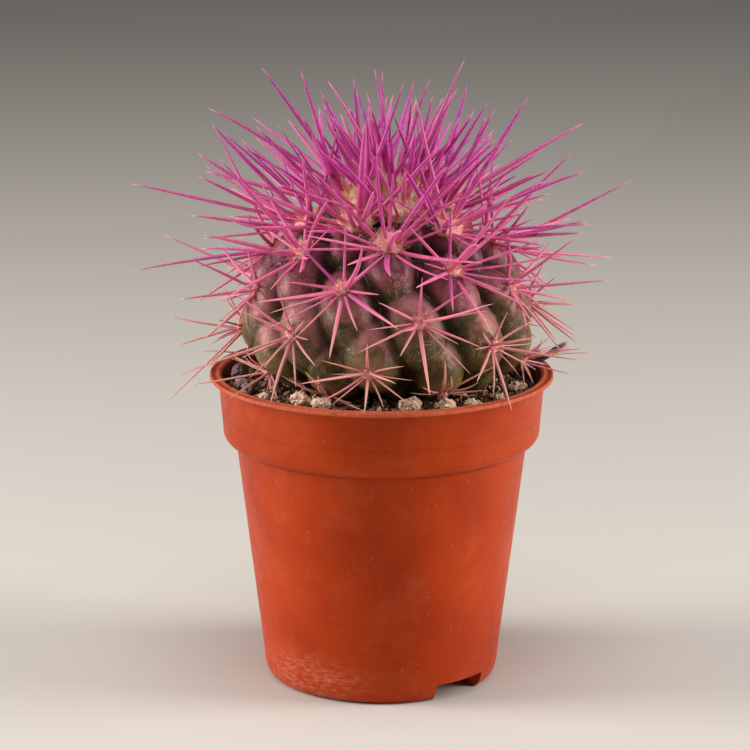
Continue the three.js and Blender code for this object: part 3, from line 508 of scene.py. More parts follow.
# What each material's shader is set to, its layers, and its bumps: a depth, then the steps of the height
MATERIALS = {
    "pot_plastic": (
        # The warm Specular Tint is a painted reflection: it tints the pot's highlights as warm surroundings
        # would.
        {"Specular IOR Level": 0.25, "Specular Tint": (1.0, 0.6, 0.4, 1)}, POT_LAYERS,
        [(0.006, (POT_DRAG,)), (0.012, ((2.5, 3),)), (0.12, ("on lip",), ((3.5, 4, 0.6),))],
    ),
    "cactus_flesh": (
        # The warm Specular Tint is a painted reflection: it keeps the skin's highlights warm instead of grey.
        {"Specular IOR Level": 0.3, "Specular Tint": (1.0, 0.85, 0.8, 1), "Subsurface Weight": 0.05,
         "Subsurface Scale": 1.5 * MM, "Subsurface Radius": (0.6, 0.5, 0.25)}, SKIN_LAYERS,
        [(0.10, ((1.1, 4, 0.6),)), (0.07, ((2.4, 3, 0.6, (1, 1, 0.3)),)), (0.03, ("cells",))],
    ),
    "spine_dye": (
        {"Specular IOR Level": 0.45, "Roughness": 0.38, "Subsurface Weight": 0.1,
         "Subsurface Scale": 0.4 * MM}, SPINE_LAYERS, [(0.018, ("bands",))],
    ),
    "wool": (
        {"Specular IOR Level": 0.15, "Roughness": 0.9, "Subsurface Weight": 0.2,
         "Subsurface Scale": 0.6 * MM}, WOOL_LAYERS, [(0.06, ((6, 4),))],
    ),
    "potting_soil": ({"Specular IOR Level": 0.2, "Roughness": 0.93}, SOIL_LAYERS, [(0.12, (SOIL_GRAIN,))]),
    "mineral_chip": ({"Specular IOR Level": 0.25, "Roughness": 0.85}, CHIP_LAYERS, [(0.12, ((4, 4, 0.7),))]),
    "bark": ({"Specular IOR Level": 0.25, "Roughness": 0.88}, BARK_LAYERS, [(0.14, ((3, 5, 0.7),))]),
    "bark_flake": ({"Specular IOR Level": 0.3, "Roughness": 0.85}, FLAKE_LAYERS, [(0.12, ((3, 5, 0.7),))]),
    "floor": ({"Roughness": 0.7}, FLOOR_COLOUR, []),
}
MIX_SOCKETS = (0, 6, 7)  # factor, colour beneath and colour above

# Camera, solved from the pot's lip, collar and foot
IMAGE_SIDE = 750
FOCAL_PIXELS = 3214.56
SENSOR = 36
CAMERA_PLACE = (-1.05, -500, 172.79)
CAMERA_PITCH = 0.24213
CAMERA_ROLL = 0.00148
CLIP = (0.01, 20)

# Studio: a light's name, azimuth, distance, height, size, watts and colour
FLOOR_SIDE = 3000
WARM = (1.0, 0.95, 0.9)
LIGHTS = [
    ("left", -86, 520, 230, (240, 420), 3.8, WARM),
    ("right", 84, 520, 220, (240, 420), 3.35, WARM),
    ("top", 0, 130, 620, (380, 380), 1.9, (1.0, 0.98, 0.95)),
]
AIM = (0, 0, 50)
WORLD_STRENGTH = 0.1


class Draws:
    """Seeded draws, the same on every run."""

    def __init__(self, seed):
        self.state = seed

    def __call__(self, low, high):
        self.state = (self.state * DRAW_FACTOR + DRAW_STEP) % DRAW_RANGE
        return low + (high - low) * self.state / DRAW_RANGE


def clamp(value, low, high):
    return min(high, max(low, value))


def place(azimuth, radius, z):
    angle = radians(azimuth)
    return np.array([radius * sin(angle), -radius * cos(angle), z])


def unit(vector):
    return vector / np.linalg.norm(vector)


def smooth_step(value, low, high):
    share = np.clip((value - low) / (high - low), 0, 1)
    return share * share * (3 - 2 * share)


def noise_at(points, scale, octaves, offset):
    """Smooth noise from about -1 to 1 at each point, with features 1 / scale wide."""
    shift = Vector((offset, offset, offset))
    return np.array([noise.fractal(Vector(p) * scale + shift, *FRACTAL, octaves) for p in points])


# Meshes
class Shape:
    """The points and faces of one piece, with named values for each point."""

    def __init__(self, *names):
        self.points = []
        self.faces = []
        self.values = {name: [] for name in names}
        self.count = 0

    def add(self, points, faces, **values):
        self.points.append(np.asarray(points, float))
        self.faces.extend((np.asarray(face) + self.count).tolist() for face in faces)
        for name, store in self.values.items():
            store.append(np.broadcast_to(np.asarray(values[name], float), (len(points),)))
        self.count += len(points)

    def build(self, name, material):
        mesh = bpy.data.meshes.new(name)
        mesh.from_pydata((np.vstack(self.points) * MM).tolist(), [], self.faces)
        for key, store in self.values.items():
            layer = mesh.attributes.new(key, "FLOAT", "POINT")
            layer.data.foreach_set("value", np.concatenate(store).astype(np.float32))
        mesh.shade_smooth()
        mesh.materials.append(material)
        mesh.validate()
        made = bpy.data.objects.new(name, mesh)
        bpy.context.scene.collection.objects.link(made)
        return made


def icosphere(level):
    ball = bmesh.new()
    bmesh.ops.create_icosphere(ball, subdivisions=level, radius=1)
    points = np.array([vertex.co for vertex in ball.verts], float)
    faces = np.array([[vertex.index for vertex in face.verts] for face in ball.faces])
    ball.free()
    return points / np.linalg.norm(points, axis=1)[:, None], faces


def grid_faces(rows, columns):
    """Quads between the rows of a grid. A row's last point joins its first."""
    faces = []
    for row in range(rows - 1):
        for column in range(columns):
            after = (column + 1) % columns
            faces.append([
                row * columns + column, row * columns + after,
                (row + 1) * columns + after, (row + 1) * columns + column,
            ])
    return faces


def turned(profile, azimuths, lift=None):
    """A profile of (radius, z) turned about Z. lift moves a point of the profile at an azimuth."""
    points = []
    for radius, z in profile:
        for azimuth in azimuths:
            moved = lift(azimuth, radius, z) if lift else (radius, z)
            points.append(place(azimuth, *moved))
    return np.array(points), grid_faces(len(profile), len(azimuths))


def merged(made):
    """Joins points that lie on each other and drops faces of no area."""
    work = bmesh.new()
    work.from_mesh(made.data)
    bmesh.ops.remove_doubles(work, verts=work.verts, dist=MERGE_DISTANCE * MM)
    bmesh.ops.dissolve_degenerate(work, edges=work.edges, dist=MERGE_DISTANCE * MM)
    bmesh.ops.recalc_face_normals(work, faces=work.faces)
    work.to_mesh(made.data)
    work.free()
    return made


def across(axis):
    """Two directions square to an axis."""
    helper = np.array([0, 0, 1.0]) if abs(axis[2]) < UPRIGHT else np.array([1.0, 0, 0])
    first = unit(np.cross(axis, helper))
    return first, np.cross(axis, first)


def tube(path, radii, sides, flat=1.0, turn=0.0):
    """A closed tube along a path, which ends in a point. flat squeezes its section one way."""
    path = np.asarray(path)
    first, second = across(unit(path[-1] - path[0]))
    points = []
    for centre, radius in zip(path[:-1], radii):
        for i in range(sides):
            angle = turn + 2 * pi * i / sides
            points.append(centre + radius * (cos(angle) * first + flat * sin(angle) * second))
    points.append(path[-1])
    rings = len(path) - 1
    faces = grid_faces(rings, sides)
    tip = len(points) - 1
    last = (rings - 1) * sides
    faces += [[last + i, last + (i + 1) % sides, tip] for i in range(sides)]
    faces.append(list(range(sides - 1, -1, -1)))
    return np.array(points), faces


# Materials
class Paint:
    """A material made of layers of colour. Coordinates are millimetres."""

    def __init__(self, name):
        settings, self.rows, self.bumps = MATERIALS[name]
        self.material = bpy.data.materials.new(name)
        self.material.use_nodes = True
        self.tree = self.material.node_tree
        self.shader = self.tree.nodes["Principled BSDF"]
        for socket, value in settings.items():
            self.shader.inputs[socket].default_value = value
        where = self.node("TexCoord").outputs["Object"]
        self.mm = self.node("VectorMath", {"operation": "SCALE"}, Vector=where, Scale=1 / MM).outputs[0]
        self.values = {"height": self.node("SeparateXYZ", Vector=self.mm).outputs["Z"]}

    def node(self, kind, settings=None, **inputs):
        made = self.tree.nodes.new("ShaderNode" + kind)
        for name, value in (settings or {}).items():
            setattr(made, name, value)
        for name, value in inputs.items():
            self.put(made.inputs[name.replace("_", " ")], value)
        return made

    def put(self, socket, value):
        if isinstance(value, bpy.types.NodeSocket):
            self.tree.links.new(value, socket)
        elif socket.type == "RGBA" and len(value) == 3:
            socket.default_value = (*value, 1)
        else:
            socket.default_value = value

    def math(self, operation, a, b=0.0):
        made = self.node("Math", {"operation": operation})
        self.put(made.inputs[0], a)
        self.put(made.inputs[1], b)
        return made.outputs[0]

    def times(self, a, b):
        return self.math("MULTIPLY", a, b)

    def along(self, stretch):
        """Coordinates scaled along x, y and z, so that what is drawn with them is drawn out."""
        made = self.node("VectorMath", {"operation": "MULTIPLY"}, Vector=self.mm)
        made.inputs[1].default_value = stretch
        return made.outputs[0]

    def away(self, stretch, middle=(0, 0, 0)):
        """Stretched distance from a point."""
        made = self.node("VectorMath", {"operation": "DISTANCE"}, Vector=self.along(stretch))
        made.inputs[1].default_value = [a * b for a, b in zip(middle, stretch)]
        return made.outputs["Value"]

    def noise(self, scale, detail, roughness=0.5, stretch=(1, 1, 1), distortion=0.0):
        made = self.node(
            "TexNoise", Vector=self.along(stretch), Scale=scale, Detail=detail,
            Roughness=roughness, Distortion=distortion,
        )
        return made.outputs[0]

    def cells(self, scale, stretch=(1, 1, 1)):
        return self.node("TexVoronoi", Vector=self.along(stretch), Scale=scale)

    def dots(self, scale, stretch, channel, sizes, picks):
        """Dots in some of the cells round random points."""
        cells = self.cells(scale, stretch)
        some = self.node("SeparateColor", Color=cells.outputs["Color"]).outputs[channel]
        return self.times(self.span(cells.outputs["Distance"], *sizes), self.span(some, *picks))

    def read(self, source):
        """A noise given by its numbers, or else a named value of the material or the mesh."""
        if isinstance(source, tuple):
            return self.noise(*source)
        if source not in self.values:
            self.values[source] = self.node("Attribute", {"attribute_name": source}).outputs["Fac"]
        return self.values[source]

    def span(self, value, low, high, start=0.0, end=1.0):
        """A smooth step of value between low and high, which goes from start to end."""
        made = self.node(
            "MapRange", {"interpolation_type": "SMOOTHSTEP", "clamp": True}, Value=value,
            From_Min=low, From_Max=high, To_Min=start, To_Max=end,
        )
        return made.outputs[0]

    def mask(self, *steps):
        """The product of some steps. A step without a span is the value itself or a part of it."""
        found = None
        for source, *numbers in steps:
            value = self.read(source)
            if len(numbers) == 1:
                value = self.times(value, numbers[0])
            elif numbers:
                value = self.span(value, *numbers)
            found = value if found is None else self.times(found, value)
        return found

    def layers(self, rows):
        """Colours laid over each other. A colour may be made of layers itself."""
        if isinstance(rows, tuple):
            return rows
        colour = self.layers(rows[0])
        for label, *steps, over in rows[1:]:
            made = self.node("Mix", {"data_type": "RGBA", "clamp_factor": True, "label": label})
            for socket, value in zip(MIX_SOCKETS, (self.mask(*steps), colour, self.layers(over))):
                self.put(made.inputs[socket], value)
            colour = made.outputs[2]
        return colour

    def finish(self, roughness=None):
        self.put(self.shader.inputs["Base Color"], self.layers(self.rows))
        if roughness is not None:
            self.put(self.shader.inputs["Roughness"], roughness)
        last = None
        for distance, *steps in self.bumps:
            made = self.node("Bump", Height=self.mask(*steps), Distance=distance * MM)
            if last:
                self.put(made.inputs["Normal"], last)
            last = made.outputs[0]
        if last:
            self.put(self.shader.inputs["Normal"], last)
        return self.material


def pot_paint():
    paint = Paint("pot_plastic")
    dashes = paint.times(paint.dots(*POT_DASHES), DASH_STRENGTH)
    marks = paint.math("MAXIMUM", paint.dots(*POT_SPECKS), dashes)
    paint.values.update({
        "marks": marks, "from scuff": paint.away(SCUFF_STRETCH, SCUFF_MIDDLE),
        "radius": paint.away((1, 1, 0)), "on lip": paint.mask(ON_LIP),
    })
    dust = paint.mask(("on lip",), LIP_DUST)
    paint.values["dust"] = dust
    rougher = paint.times(paint.math("MAXIMUM", marks, dust), DUST_ROUGHER)
    return paint.finish(paint.math("ADD", paint.mask(POT_ROUGHNESS), rougher))


def skin_paint():
    paint = Paint("cactus_flesh")
    paint.values["pale rim"] = paint.mask(("rim",), RIM_PATCHES)
    dyed = paint.math("ADD", paint.read("dye"), paint.mask(DYE_PATCHES))
    paint.values["dyed"] = paint.math("SUBTRACT", dyed, paint.mask(("pale rim", RIM_STRENGTH)))
    paint.values["cells"] = paint.cells(SKIN_CELLS).outputs["Distance"]
    paint.values["scars"] = paint.math("ABSOLUTE", paint.math("SUBTRACT", paint.noise(*SCARS), 0.5))
    return paint.finish(paint.mask(SKIN_ROUGHNESS))


def spine_paint():
    paint = Paint("spine_dye")
    run, young = paint.read("run"), paint.read("young")
    base_reach = paint.math("ADD", paint.times(young, YOUNG_BASE), OLD_BASE)
    paint.values["base"] = paint.math("SUBTRACT", 1.0, paint.math("DIVIDE", run, base_reach))
    paint.values["tip"] = paint.math("ADD", run, paint.times(paint.read("tint"), TIP_SPREAD))
    paint.values["bands"] = paint.math("SINE", paint.times(paint.read("length"), 2 * pi / BAND_LENGTH))
    return paint.finish()


# Pot
def pot_radius(z):
    if z < FOOT_ROUND:
        share = 1 - max(z, 0) / FOOT_ROUND
        return FOOT_RADIUS + (WALL_FOOT_RADIUS - FOOT_RADIUS) * sqrt(1 - share * share)
    if z < SHOULDER_BOTTOM:
        share = (z - FOOT_ROUND) / (SHOULDER_BOTTOM - FOOT_ROUND)
        return WALL_FOOT_RADIUS + (WALL_TOP_RADIUS - WALL_FOOT_RADIUS) * share
    if z < SHOULDER_TOP:
        share = (z - SHOULDER_BOTTOM) / (SHOULDER_TOP - SHOULDER_BOTTOM)
        curve = 1 - (1 - share) ** SHOULDER_CURVE
        return WALL_TOP_RADIUS + (COLLAR_BOTTOM_RADIUS - WALL_TOP_RADIUS) * curve
    share = (z - SHOULDER_TOP) / (LIP_UNDER - SHOULDER_TOP)
    return COLLAR_BOTTOM_RADIUS + (COLLAR_TOP_RADIUS - COLLAR_BOTTOM_RADIUS) * share


def pot_inside(z):
    return pot_radius(z - SHOULDER_WALL_RISE) - POT_WALL


def pot_profile():
    foot = [FOOT_ROUND * (1 - cos(i / CURVE_STEPS * pi / 2)) for i in range(CURVE_STEPS + 1)]
    shoulder = list(np.linspace(SHOULDER_BOTTOM, SHOULDER_TOP, CURVE_STEPS + 1))
    outside = foot + [SHOULDER_BOTTOM - WALL_CORNER] + shoulder + [COLLAR_MIDDLE, LIP_UNDER - LIP_CORNER]
    inside = [LIP_UNDER - LIP_CORNER, COLLAR_MIDDLE]
    inside += [z + SHOULDER_WALL_RISE for z in reversed(shoulder)] + [FLOOR_TOP + FLOOR_ROUND]
    foot_inside = FOOT_RADIUS - FOOT_WALL
    return (
        [(0, FLOOR_UNDERSIDE), (foot_inside, FLOOR_UNDERSIDE), (foot_inside, 0)]
        + [(pot_radius(z), z) for z in outside] + LIP_SECTION + [(pot_inside(z), z) for z in inside]
        + [(foot_inside, FLOOR_TOP), (0, FLOOR_TOP)]
    )


def notch_half(width):
    return degrees(asin(width / 2 / FOOT_RADIUS))


def notch_lift(azimuth, radius, z):
    """Points of the foot that a notch cuts away move up to the notch's top."""
    for middle, width, height in NOTCHES:
        apart = abs((azimuth - middle + 180) % 360 - 180)
        if apart < notch_half(width) and z < height:
            return (pot_radius(height) if radius > FOOT_RADIUS - FOOT_WALL else radius), height
    return radius, z


def make_pot():
    azimuths = [i * 360 / POT_SIDES for i in range(POT_SIDES)]
    for middle, width, _ in NOTCHES:
        for side in (-1, 1):
            edge = middle + side * notch_half(width)
            azimuths += [(edge - NOTCH_EDGE) % 360, (edge + NOTCH_EDGE) % 360]
    azimuths.sort()
    shape = Shape()
    shape.add(*turned(pot_profile(), azimuths, notch_lift))
    pot = merged(shape.build("pot_shell", pot_paint()))
    for i in range(DRAIN_COUNT):
        drain = place((i + 0.5) * 360 / DRAIN_COUNT, DRAIN_CIRCLE, FLOOR_UNDERSIDE + FLOOR_THICKNESS / 2) * MM
        cut_round(pot, drain, DRAIN_RADIUS * MM, FLOOR_UNDERSIDE * MM)
    pot.data.shade_smooth()
    pot.data.set_sharp_from_angle(angle=radians(POT_CORNER))
    return pot


def cut_round(made, centre, radius, depth):
    """Cuts a round upright hole out of a piece."""
    bpy.ops.mesh.primitive_cylinder_add(vertices=DRAIN_SIDES, radius=radius, depth=depth, location=centre)
    cutter = bpy.context.object
    cut = made.modifiers.new("cut", "BOOLEAN")
    cut.operation = "DIFFERENCE"
    cut.solver = "EXACT"
    cut.object = cutter
    graph = bpy.context.evaluated_depsgraph_get()
    mesh = bpy.data.meshes.new_from_object(made.evaluated_get(graph))
    made.modifiers.remove(cut)
    made.data = mesh
    bpy.data.objects.remove(cutter)


# Cactus body
def outline_radius(z):
    half = BODY_ABOVE if z > BODY_Z else BODY_BELOW
    share = abs(z - BODY_Z) / half
    return BODY_RADIUS * max(0, 1 - share ** BODY_SQUARENESS) ** (1 / BODY_SQUARENESS)


def outline_reach(directions):
    half = np.where(directions[:, 2] > 0, BODY_ABOVE, BODY_BELOW)
    flat = np.hypot(directions[:, 0], directions[:, 1]) / BODY_RADIUS
    tall = np.abs(directions[:, 2]) / half
    return (flat ** BODY_SQUARENESS + tall ** BODY_SQUARENESS) ** (-1 / BODY_SQUARENESS)


def outline_table():
    """Length along the outline from the crown, with the radius and height there."""
    table = [(0, 0, BODY_Z + BODY_ABOVE)]
    power = 2 / BODY_SQUARENESS
    for i in range(1, OUTLINE_STEPS + 1):
        angle = OUTLINE_END * i / OUTLINE_STEPS
        half = BODY_ABOVE if cos(angle) > 0 else -BODY_BELOW
        radius = BODY_RADIUS * sin(angle) ** power
        z = BODY_Z + half * abs(cos(angle)) ** power
        length, last_radius, last_z = table[-1]
        table.append((length + hypot(radius - last_radius, z - last_z), radius, z))
    return np.array(table)


OUTLINE = outline_table()
LOWEST_LENGTH = OUTLINE[OUTLINE[:, 2] >= LOWEST_CUSHION][-1, 0]


class Knob:
    """Knob number n counts down from the crown along the spiral."""

    def __init__(self, n):
        length = SPIRAL_STEP * n ** SPIRAL_POWER
        if n < CUSHIONS:
            length = min(length, LOWEST_LENGTH)
        radius = np.interp(length, OUTLINE[:, 0], OUTLINE[:, 1])
        rib_length = SPIRAL_STEP * (n + RIB_STEP) ** SPIRAL_POWER
        rib_radius = np.interp(rib_length, OUTLINE[:, 0], OUTLINE[:, 1])
        lean = atan2((radius + rib_radius) / 2 * radians(RIB_TURN), rib_length - length)
        cone = clamp((n - CONE_KNOBS[0]) / (CONE_KNOBS[1] - CONE_KNOBS[0]), 0, 1)
        roundness, below, bulge = (ridge + (tip - ridge) * cone for ridge, tip in
                                   (KNOB_ROUNDNESS, KNOB_BELOW_CUSHION, KNOB_BULGE))
        z = np.interp(length, OUTLINE[:, 0], OUTLINE[:, 2])
        azimuth = SPIRAL_AZIMUTH - (n - SPIRAL_ZERO) * SPIRAL_TURN
        step_down = SPIRAL_STEP * SPIRAL_POWER * max(n, 1) ** (SPIRAL_POWER - 1)
        point = place(azimuth, radius, z - BODY_Z)
        angle = radians(azimuth)
        self.n = n
        self.width = sqrt(2 * pi * max(radius, CROWN_RADIUS) * step_down * HEXAGON)
        self.out = unit(point)
        self.side = np.array([cos(angle), sin(angle), 0])
        self.up = unit(np.cross(self.out, self.side))
        self.middle = unit(self.out - below * self.width / np.linalg.norm(point) * self.up)
        self.wide = self.side * cos(lean) + self.up * sin(lean)
        self.tall = self.up * cos(lean) - self.side * sin(lean)
        self.below = below * self.width
        self.roundness = roundness
        self.bulge = bulge if n < CUSHIONS else 0
        self.cone = cone
        self.young = exp(-n / YOUNG_FADE)
        self.upper = exp(-(n / UPPER_CUSHIONS) ** 4)
        self.spine_length = OUTER_LENGTH + CROWN_LENGTH * exp(-(n / LENGTH_FADE) ** 2)
        self.thin = 1 - LOW_THINNER * clamp((n - THICK_CUSHIONS) / (CONE_KNOBS[1] - THICK_CUSHIONS), 0, 1)


KNOB_LIST = [Knob(n) for n in range(KNOBS)]


def skin_drop(directions, fine=True):
    """How far the skin lies inside the smooth outline: nothing on a knob, most in a groove."""
    sharpness, knob_depth, squeeze, chin = (
        (FINE_SHARPNESS, FINE_DEPTH, FINE_SQUEEZE, CHIN) if fine
        else (GROOVE_SHARPNESS, KNOB_DEPTH, KNOB_SQUEEZE, 0)
    )
    reach = outline_reach(directions)
    total = np.zeros(len(directions))
    for knob in KNOB_LIST:
        seen = directions @ knob.middle >= KNOB_SIGHT
        sideways = (directions[seen] - knob.middle) @ knob.wide * reach[seen] * squeeze
        lengthways = (directions[seen] - knob.middle) @ knob.tall * reach[seen]
        share = np.hypot(sideways, lengthways) / knob.width
        flatter = 1 - LOW_FLATTER * knob.cone if fine else 1
        depth = knob_depth * knob.width * flatter * share ** knob.roundness - knob.bulge
        depth += chin * (1 - knob.cone) * (lengthways - knob.below)
        total[seen] += np.exp(-sharpness * depth)
    drop = -np.log(np.maximum(total, UNFELT)) / sharpness
    return np.clip(drop, -KNOB_BULGE[1] - (CHIN_ROOM if fine else 0), GROOVE_DEEPEST)


def body_point(direction, extra):
    directions = direction[None, :]
    reach = outline_reach(directions)[0] - skin_drop(directions, fine=False)[0]
    return direction * (reach + extra) + BODY_CENTRE


def make_skin():
    directions, triangles = icosphere(SKIN_LEVEL)
    drop = skin_drop(directions)
    lumps = sum(height * noise_at(directions, *numbers) for height, *numbers in SKIN_LUMPS)
    lumps *= 1 - GROOVE_SMOOTHER * np.clip(drop / SMOOTH_DEPTH, 0, 1)
    reach = outline_reach(directions) - drop + lumps - SKIN_SUNK
    points = directions * reach[:, None] + BODY_CENTRE
    rim = np.zeros(len(points))
    for knob in KNOB_LIST[CONE_KNOBS[0]:CUSHIONS]:
        away = np.linalg.norm(points - body_point(knob.out, 0), axis=1)
        rim = np.maximum(rim, knob.cone * smooth_step(away, *RIM_SPAN))
    upward = normals_of(points, triangles)[:, 2] + DYE_RISE * (points[:, 2] - DYE_HEIGHT)
    dye = smooth_step(upward + DYE_PATCHY * noise_at(directions, *DYE_PATCH), *DYE_SPAN)
    shape = Shape("groove", "dye", "rim")
    # groove holds how much painted shade each point of the skin gets
    shape.add(points, triangles, groove=np.clip(drop / SHADE_DEPTH, 0, 1), dye=dye, rim=rim)
    root = [(0, ROOT_OUTLINE[0][1])] + ROOT_OUTLINE + [(ROOT_OUTLINE[-1][0], ROOT_TOP), (0, ROOT_TOP)]
    root_points, root_faces = turned(root, range(0, 360, ROOT_STEP))
    shape.add(root_points + BODY_SHIFT, root_faces, groove=ROOT_PAINTED_SHADE, dye=0, rim=0)
    return merged(shape.build("cactus_skin", skin_paint()))


def normals_of(points, triangles):
    corners = points[triangles]
    flat = np.cross(corners[:, 1] - corners[:, 0], corners[:, 2] - corners[:, 0])
    total = np.zeros_like(points)
    for i in range(3):
        np.add.at(total, triangles[:, i], flat)
    return total / np.linalg.norm(total, axis=1)[:, None]


# Soil
SOIL_RADIUS = pot_inside(SOIL_AT_FRONT) - SOIL_GAP
HOLE_RADIUS = outline_radius(SOIL_AT_STEM) + HOLE_ROOM


def soil_height(x, y):
    azimuth = atan2(x, -y) - radians(SOIL_HIGH_AZIMUTH)
    at_wall = SOIL_AT_FRONT + (SOIL_AT_BACK - SOIL_AT_FRONT) * (1 - cos(azimuth)) / 2
    share = clamp((hypot(x, y) - HOLE_RADIUS) / (SOIL_RADIUS - HOLE_RADIUS), 0, 1)
    a, b, c, d = CRUMB_WAVES
    crumbs = sin(a * x + b * y) * sin(c * y - d * x)
    return SOIL_AT_STEM + (at_wall - SOIL_AT_STEM) * share + CRUMB_HEIGHT * crumbs


def soil_rough(x, y):
    """Height of the crumbly surface of the soil."""
    height, scale, octaves, offset = SOIL_LUMPS
    lump = noise.fractal(Vector((x * scale, y * scale, offset)), *FRACTAL, octaves)
    return soil_height(x, y) + height * lump


def make_soil():
    draw = Draws(FINE_SEED + 1)
    floor = FLOOR_TOP + SOIL_FLOOR_ROOM
    walls = [floor + FLOOR_ROUND, SHOULDER_BOTTOM, *SOIL_SHOULDER, SHOULDER_TOP, SOIL_AT_BACK - 1]
    rings = [(0, 0, floor), (FOOT_RADIUS - FOOT_WALL - SOIL_GAP, 0, floor)]
    rings += [(pot_inside(z) - SOIL_GAP, 0, z) for z in walls]
    rings += [(SOIL_RADIUS + (HOLE_RADIUS - SOIL_RADIUS) * i / SOIL_RINGS, BODY_X * i / SOIL_RINGS, None)
              for i in range(SOIL_RINGS + 1)]
    rings += [(outline_radius(z) + HOLE_ROOM, BODY_X, z) for z in HOLE_HEIGHTS]
    rings += [(radius + HOLE_ROOM, BODY_X, z - HOLE_ROOM) for radius, z in reversed(ROOT_OUTLINE)]
    rings.append((0, BODY_X, ROOT_OUTLINE[0][1] - HOLE_ROOM))
    points = []
    for radius, shift, z in rings:
        for i in range(SOIL_SIDES):
            point = place(i * 360 / SOIL_SIDES, radius, 0) + np.array([shift, 0, 0])
            point[2] = soil_rough(point[0], point[1]) if z is None else z
            points.append(point)
    shape = Shape("tint")
    shape.add(points, grid_faces(len(rings), SOIL_SIDES), tint=SOIL_TINT)
    add_grains(shape, draw)
    add_fibres(shape, draw)
    return merged(shape.build("soil_crumbs", Paint("potting_soil").finish()))


def outside_body(point, room):
    """True where a ball of this radius misses the cactus."""
    arm = point - BODY_CENTRE
    distance = np.linalg.norm(arm)
    direction = (arm / distance)[None, :]
    return distance > outline_reach(direction)[0] - skin_drop(direction)[0] + room


def random_turn(draw):
    spin = Matrix.Rotation(draw(0, 2 * pi), 3, "Z") @ Matrix.Rotation(draw(0, 2 * pi), 3, "X")
    return np.array(spin @ Matrix.Rotation(draw(0, 2 * pi), 3, "Z"))


def ground_place(draw):
    """A place drawn from the ring of soil round the plant."""
    radius = sqrt(draw(GROUND_FROM ** 2, (SOIL_RADIUS - EDGE_ROOM) ** 2))
    return place(draw(0, 360), radius, 0)


def add_grains(shape, draw):
    ball, faces = icosphere(1)
    spots = [(ground_place(draw), draw(0, 1), 0) for _ in range(GRAINS)]
    for _ in range(STEM_GRAINS):
        distance = draw(*STEM_RING)
        heap = STEM_HEAP * (STEM_RING[1] - distance) / (STEM_RING[1] - STEM_RING[0])
        spots.append((place(draw(0, 360), distance, 0), draw(*STEM_PAINTED_LIGHT_TINTS), draw(*STEM_HEAPS) * heap))
    for name, _, middle, _ in LOOSE:
        for _ in range(CHIP_CRUMBS * (not name.startswith("bark"))):
            spots.append((middle + place(draw(0, 360), CRUMB_AWAY * draw(0, 1), 0), draw(*CRUMB_TINTS), 0))
    least, more, power = GRAIN_SIZE
    for centre, tint, heap in spots:
        size = least + more * draw(0, 1) ** power
        centre[2] = soil_rough(centre[0], centre[1]) + size * draw(*GRAIN_RISE) + heap
        stretch = np.array([1, draw(*GRAIN_FLAT[0]), draw(*GRAIN_FLAT[1])])
        turn = random_turn(draw)
        grow = np.array([draw(*GRAIN_ROUGH) for _ in ball])
        inside = hypot(centre[0], centre[1]) < SOIL_RADIUS - EDGE_ROOM
        if inside and outside_body(centre, size):
            shape.add((ball * grow[:, None] * stretch * size) @ turn.T + centre, faces, tint=tint)


def add_fibres(shape, draw):
    body_room, edge_room = FIBRE_ROOM
    for _ in range(FIBRES):
        start = ground_place(draw)
        heading = place(draw(0, 360), 1, draw(*FIBRE_RISE))
        bend = FIBRE_BEND[0] * place(draw(0, 360), 1, draw(*FIBRE_BEND[1]))
        length = draw(*FIBRE_LENGTH)
        radius = draw(*FIBRE_RADIUS)
        path = []
        for i in range(FIBRE_STEPS + 1):
            share = i / FIBRE_STEPS
            point = start + length * (heading * share + bend * share ** 2)
            point[2] = soil_rough(point[0], point[1]) + FIBRE_ABOVE + FIBRE_CLIMB * heading[2] * i
            path.append(point)
        inside = all(hypot(x, y) < SOIL_RADIUS - edge_room for x, y, _ in path)
        tint = draw(*FIBRE_TINTS)
        if inside and all(outside_body(point, body_room) for point in path):
            radii = [radius] * (FIBRE_STEPS - 1) + [radius * FIBRE_TIP]
            shape.add(*tube(path, radii, FIBRE_SIDES), tint=tint)


# Loose chips and bark
LOOSE = []
for chip_name, (chip_azimuth, chip_distance, *chip_size) in CHIPS.items():
    chip_middle = place(chip_azimuth, chip_distance, 0)
    chip_middle[2] = soil_height(chip_middle[0], chip_middle[1]) + CHIP_LIFT + chip_size[2] / 2
    LOOSE.append((chip_name, chip_azimuth, chip_middle, np.array(chip_size)))
FLAKE_ENDS = [place(FLAKE_AZIMUTH, *FLAKE_INNER), place(FLAKE_AZIMUTH, *FLAKE_OUTER)]
BLOCKERS = [(middle, size[0] / 2 + CHIP_ROOM) for _, _, middle, size in LOOSE]
BLOCKERS += [(FLAKE_ENDS[0] + (FLAKE_ENDS[1] - FLAKE_ENDS[0]) * i / FLAKE_BALLS, FLAKE_WIDTH / 2 + CHIP_ROOM)
             for i in range(FLAKE_BALLS + 1)]
BLOCK_POINTS = np.array([middle for middle, _ in BLOCKERS])
BLOCK_RADII = np.array([radius for _, radius in BLOCKERS])


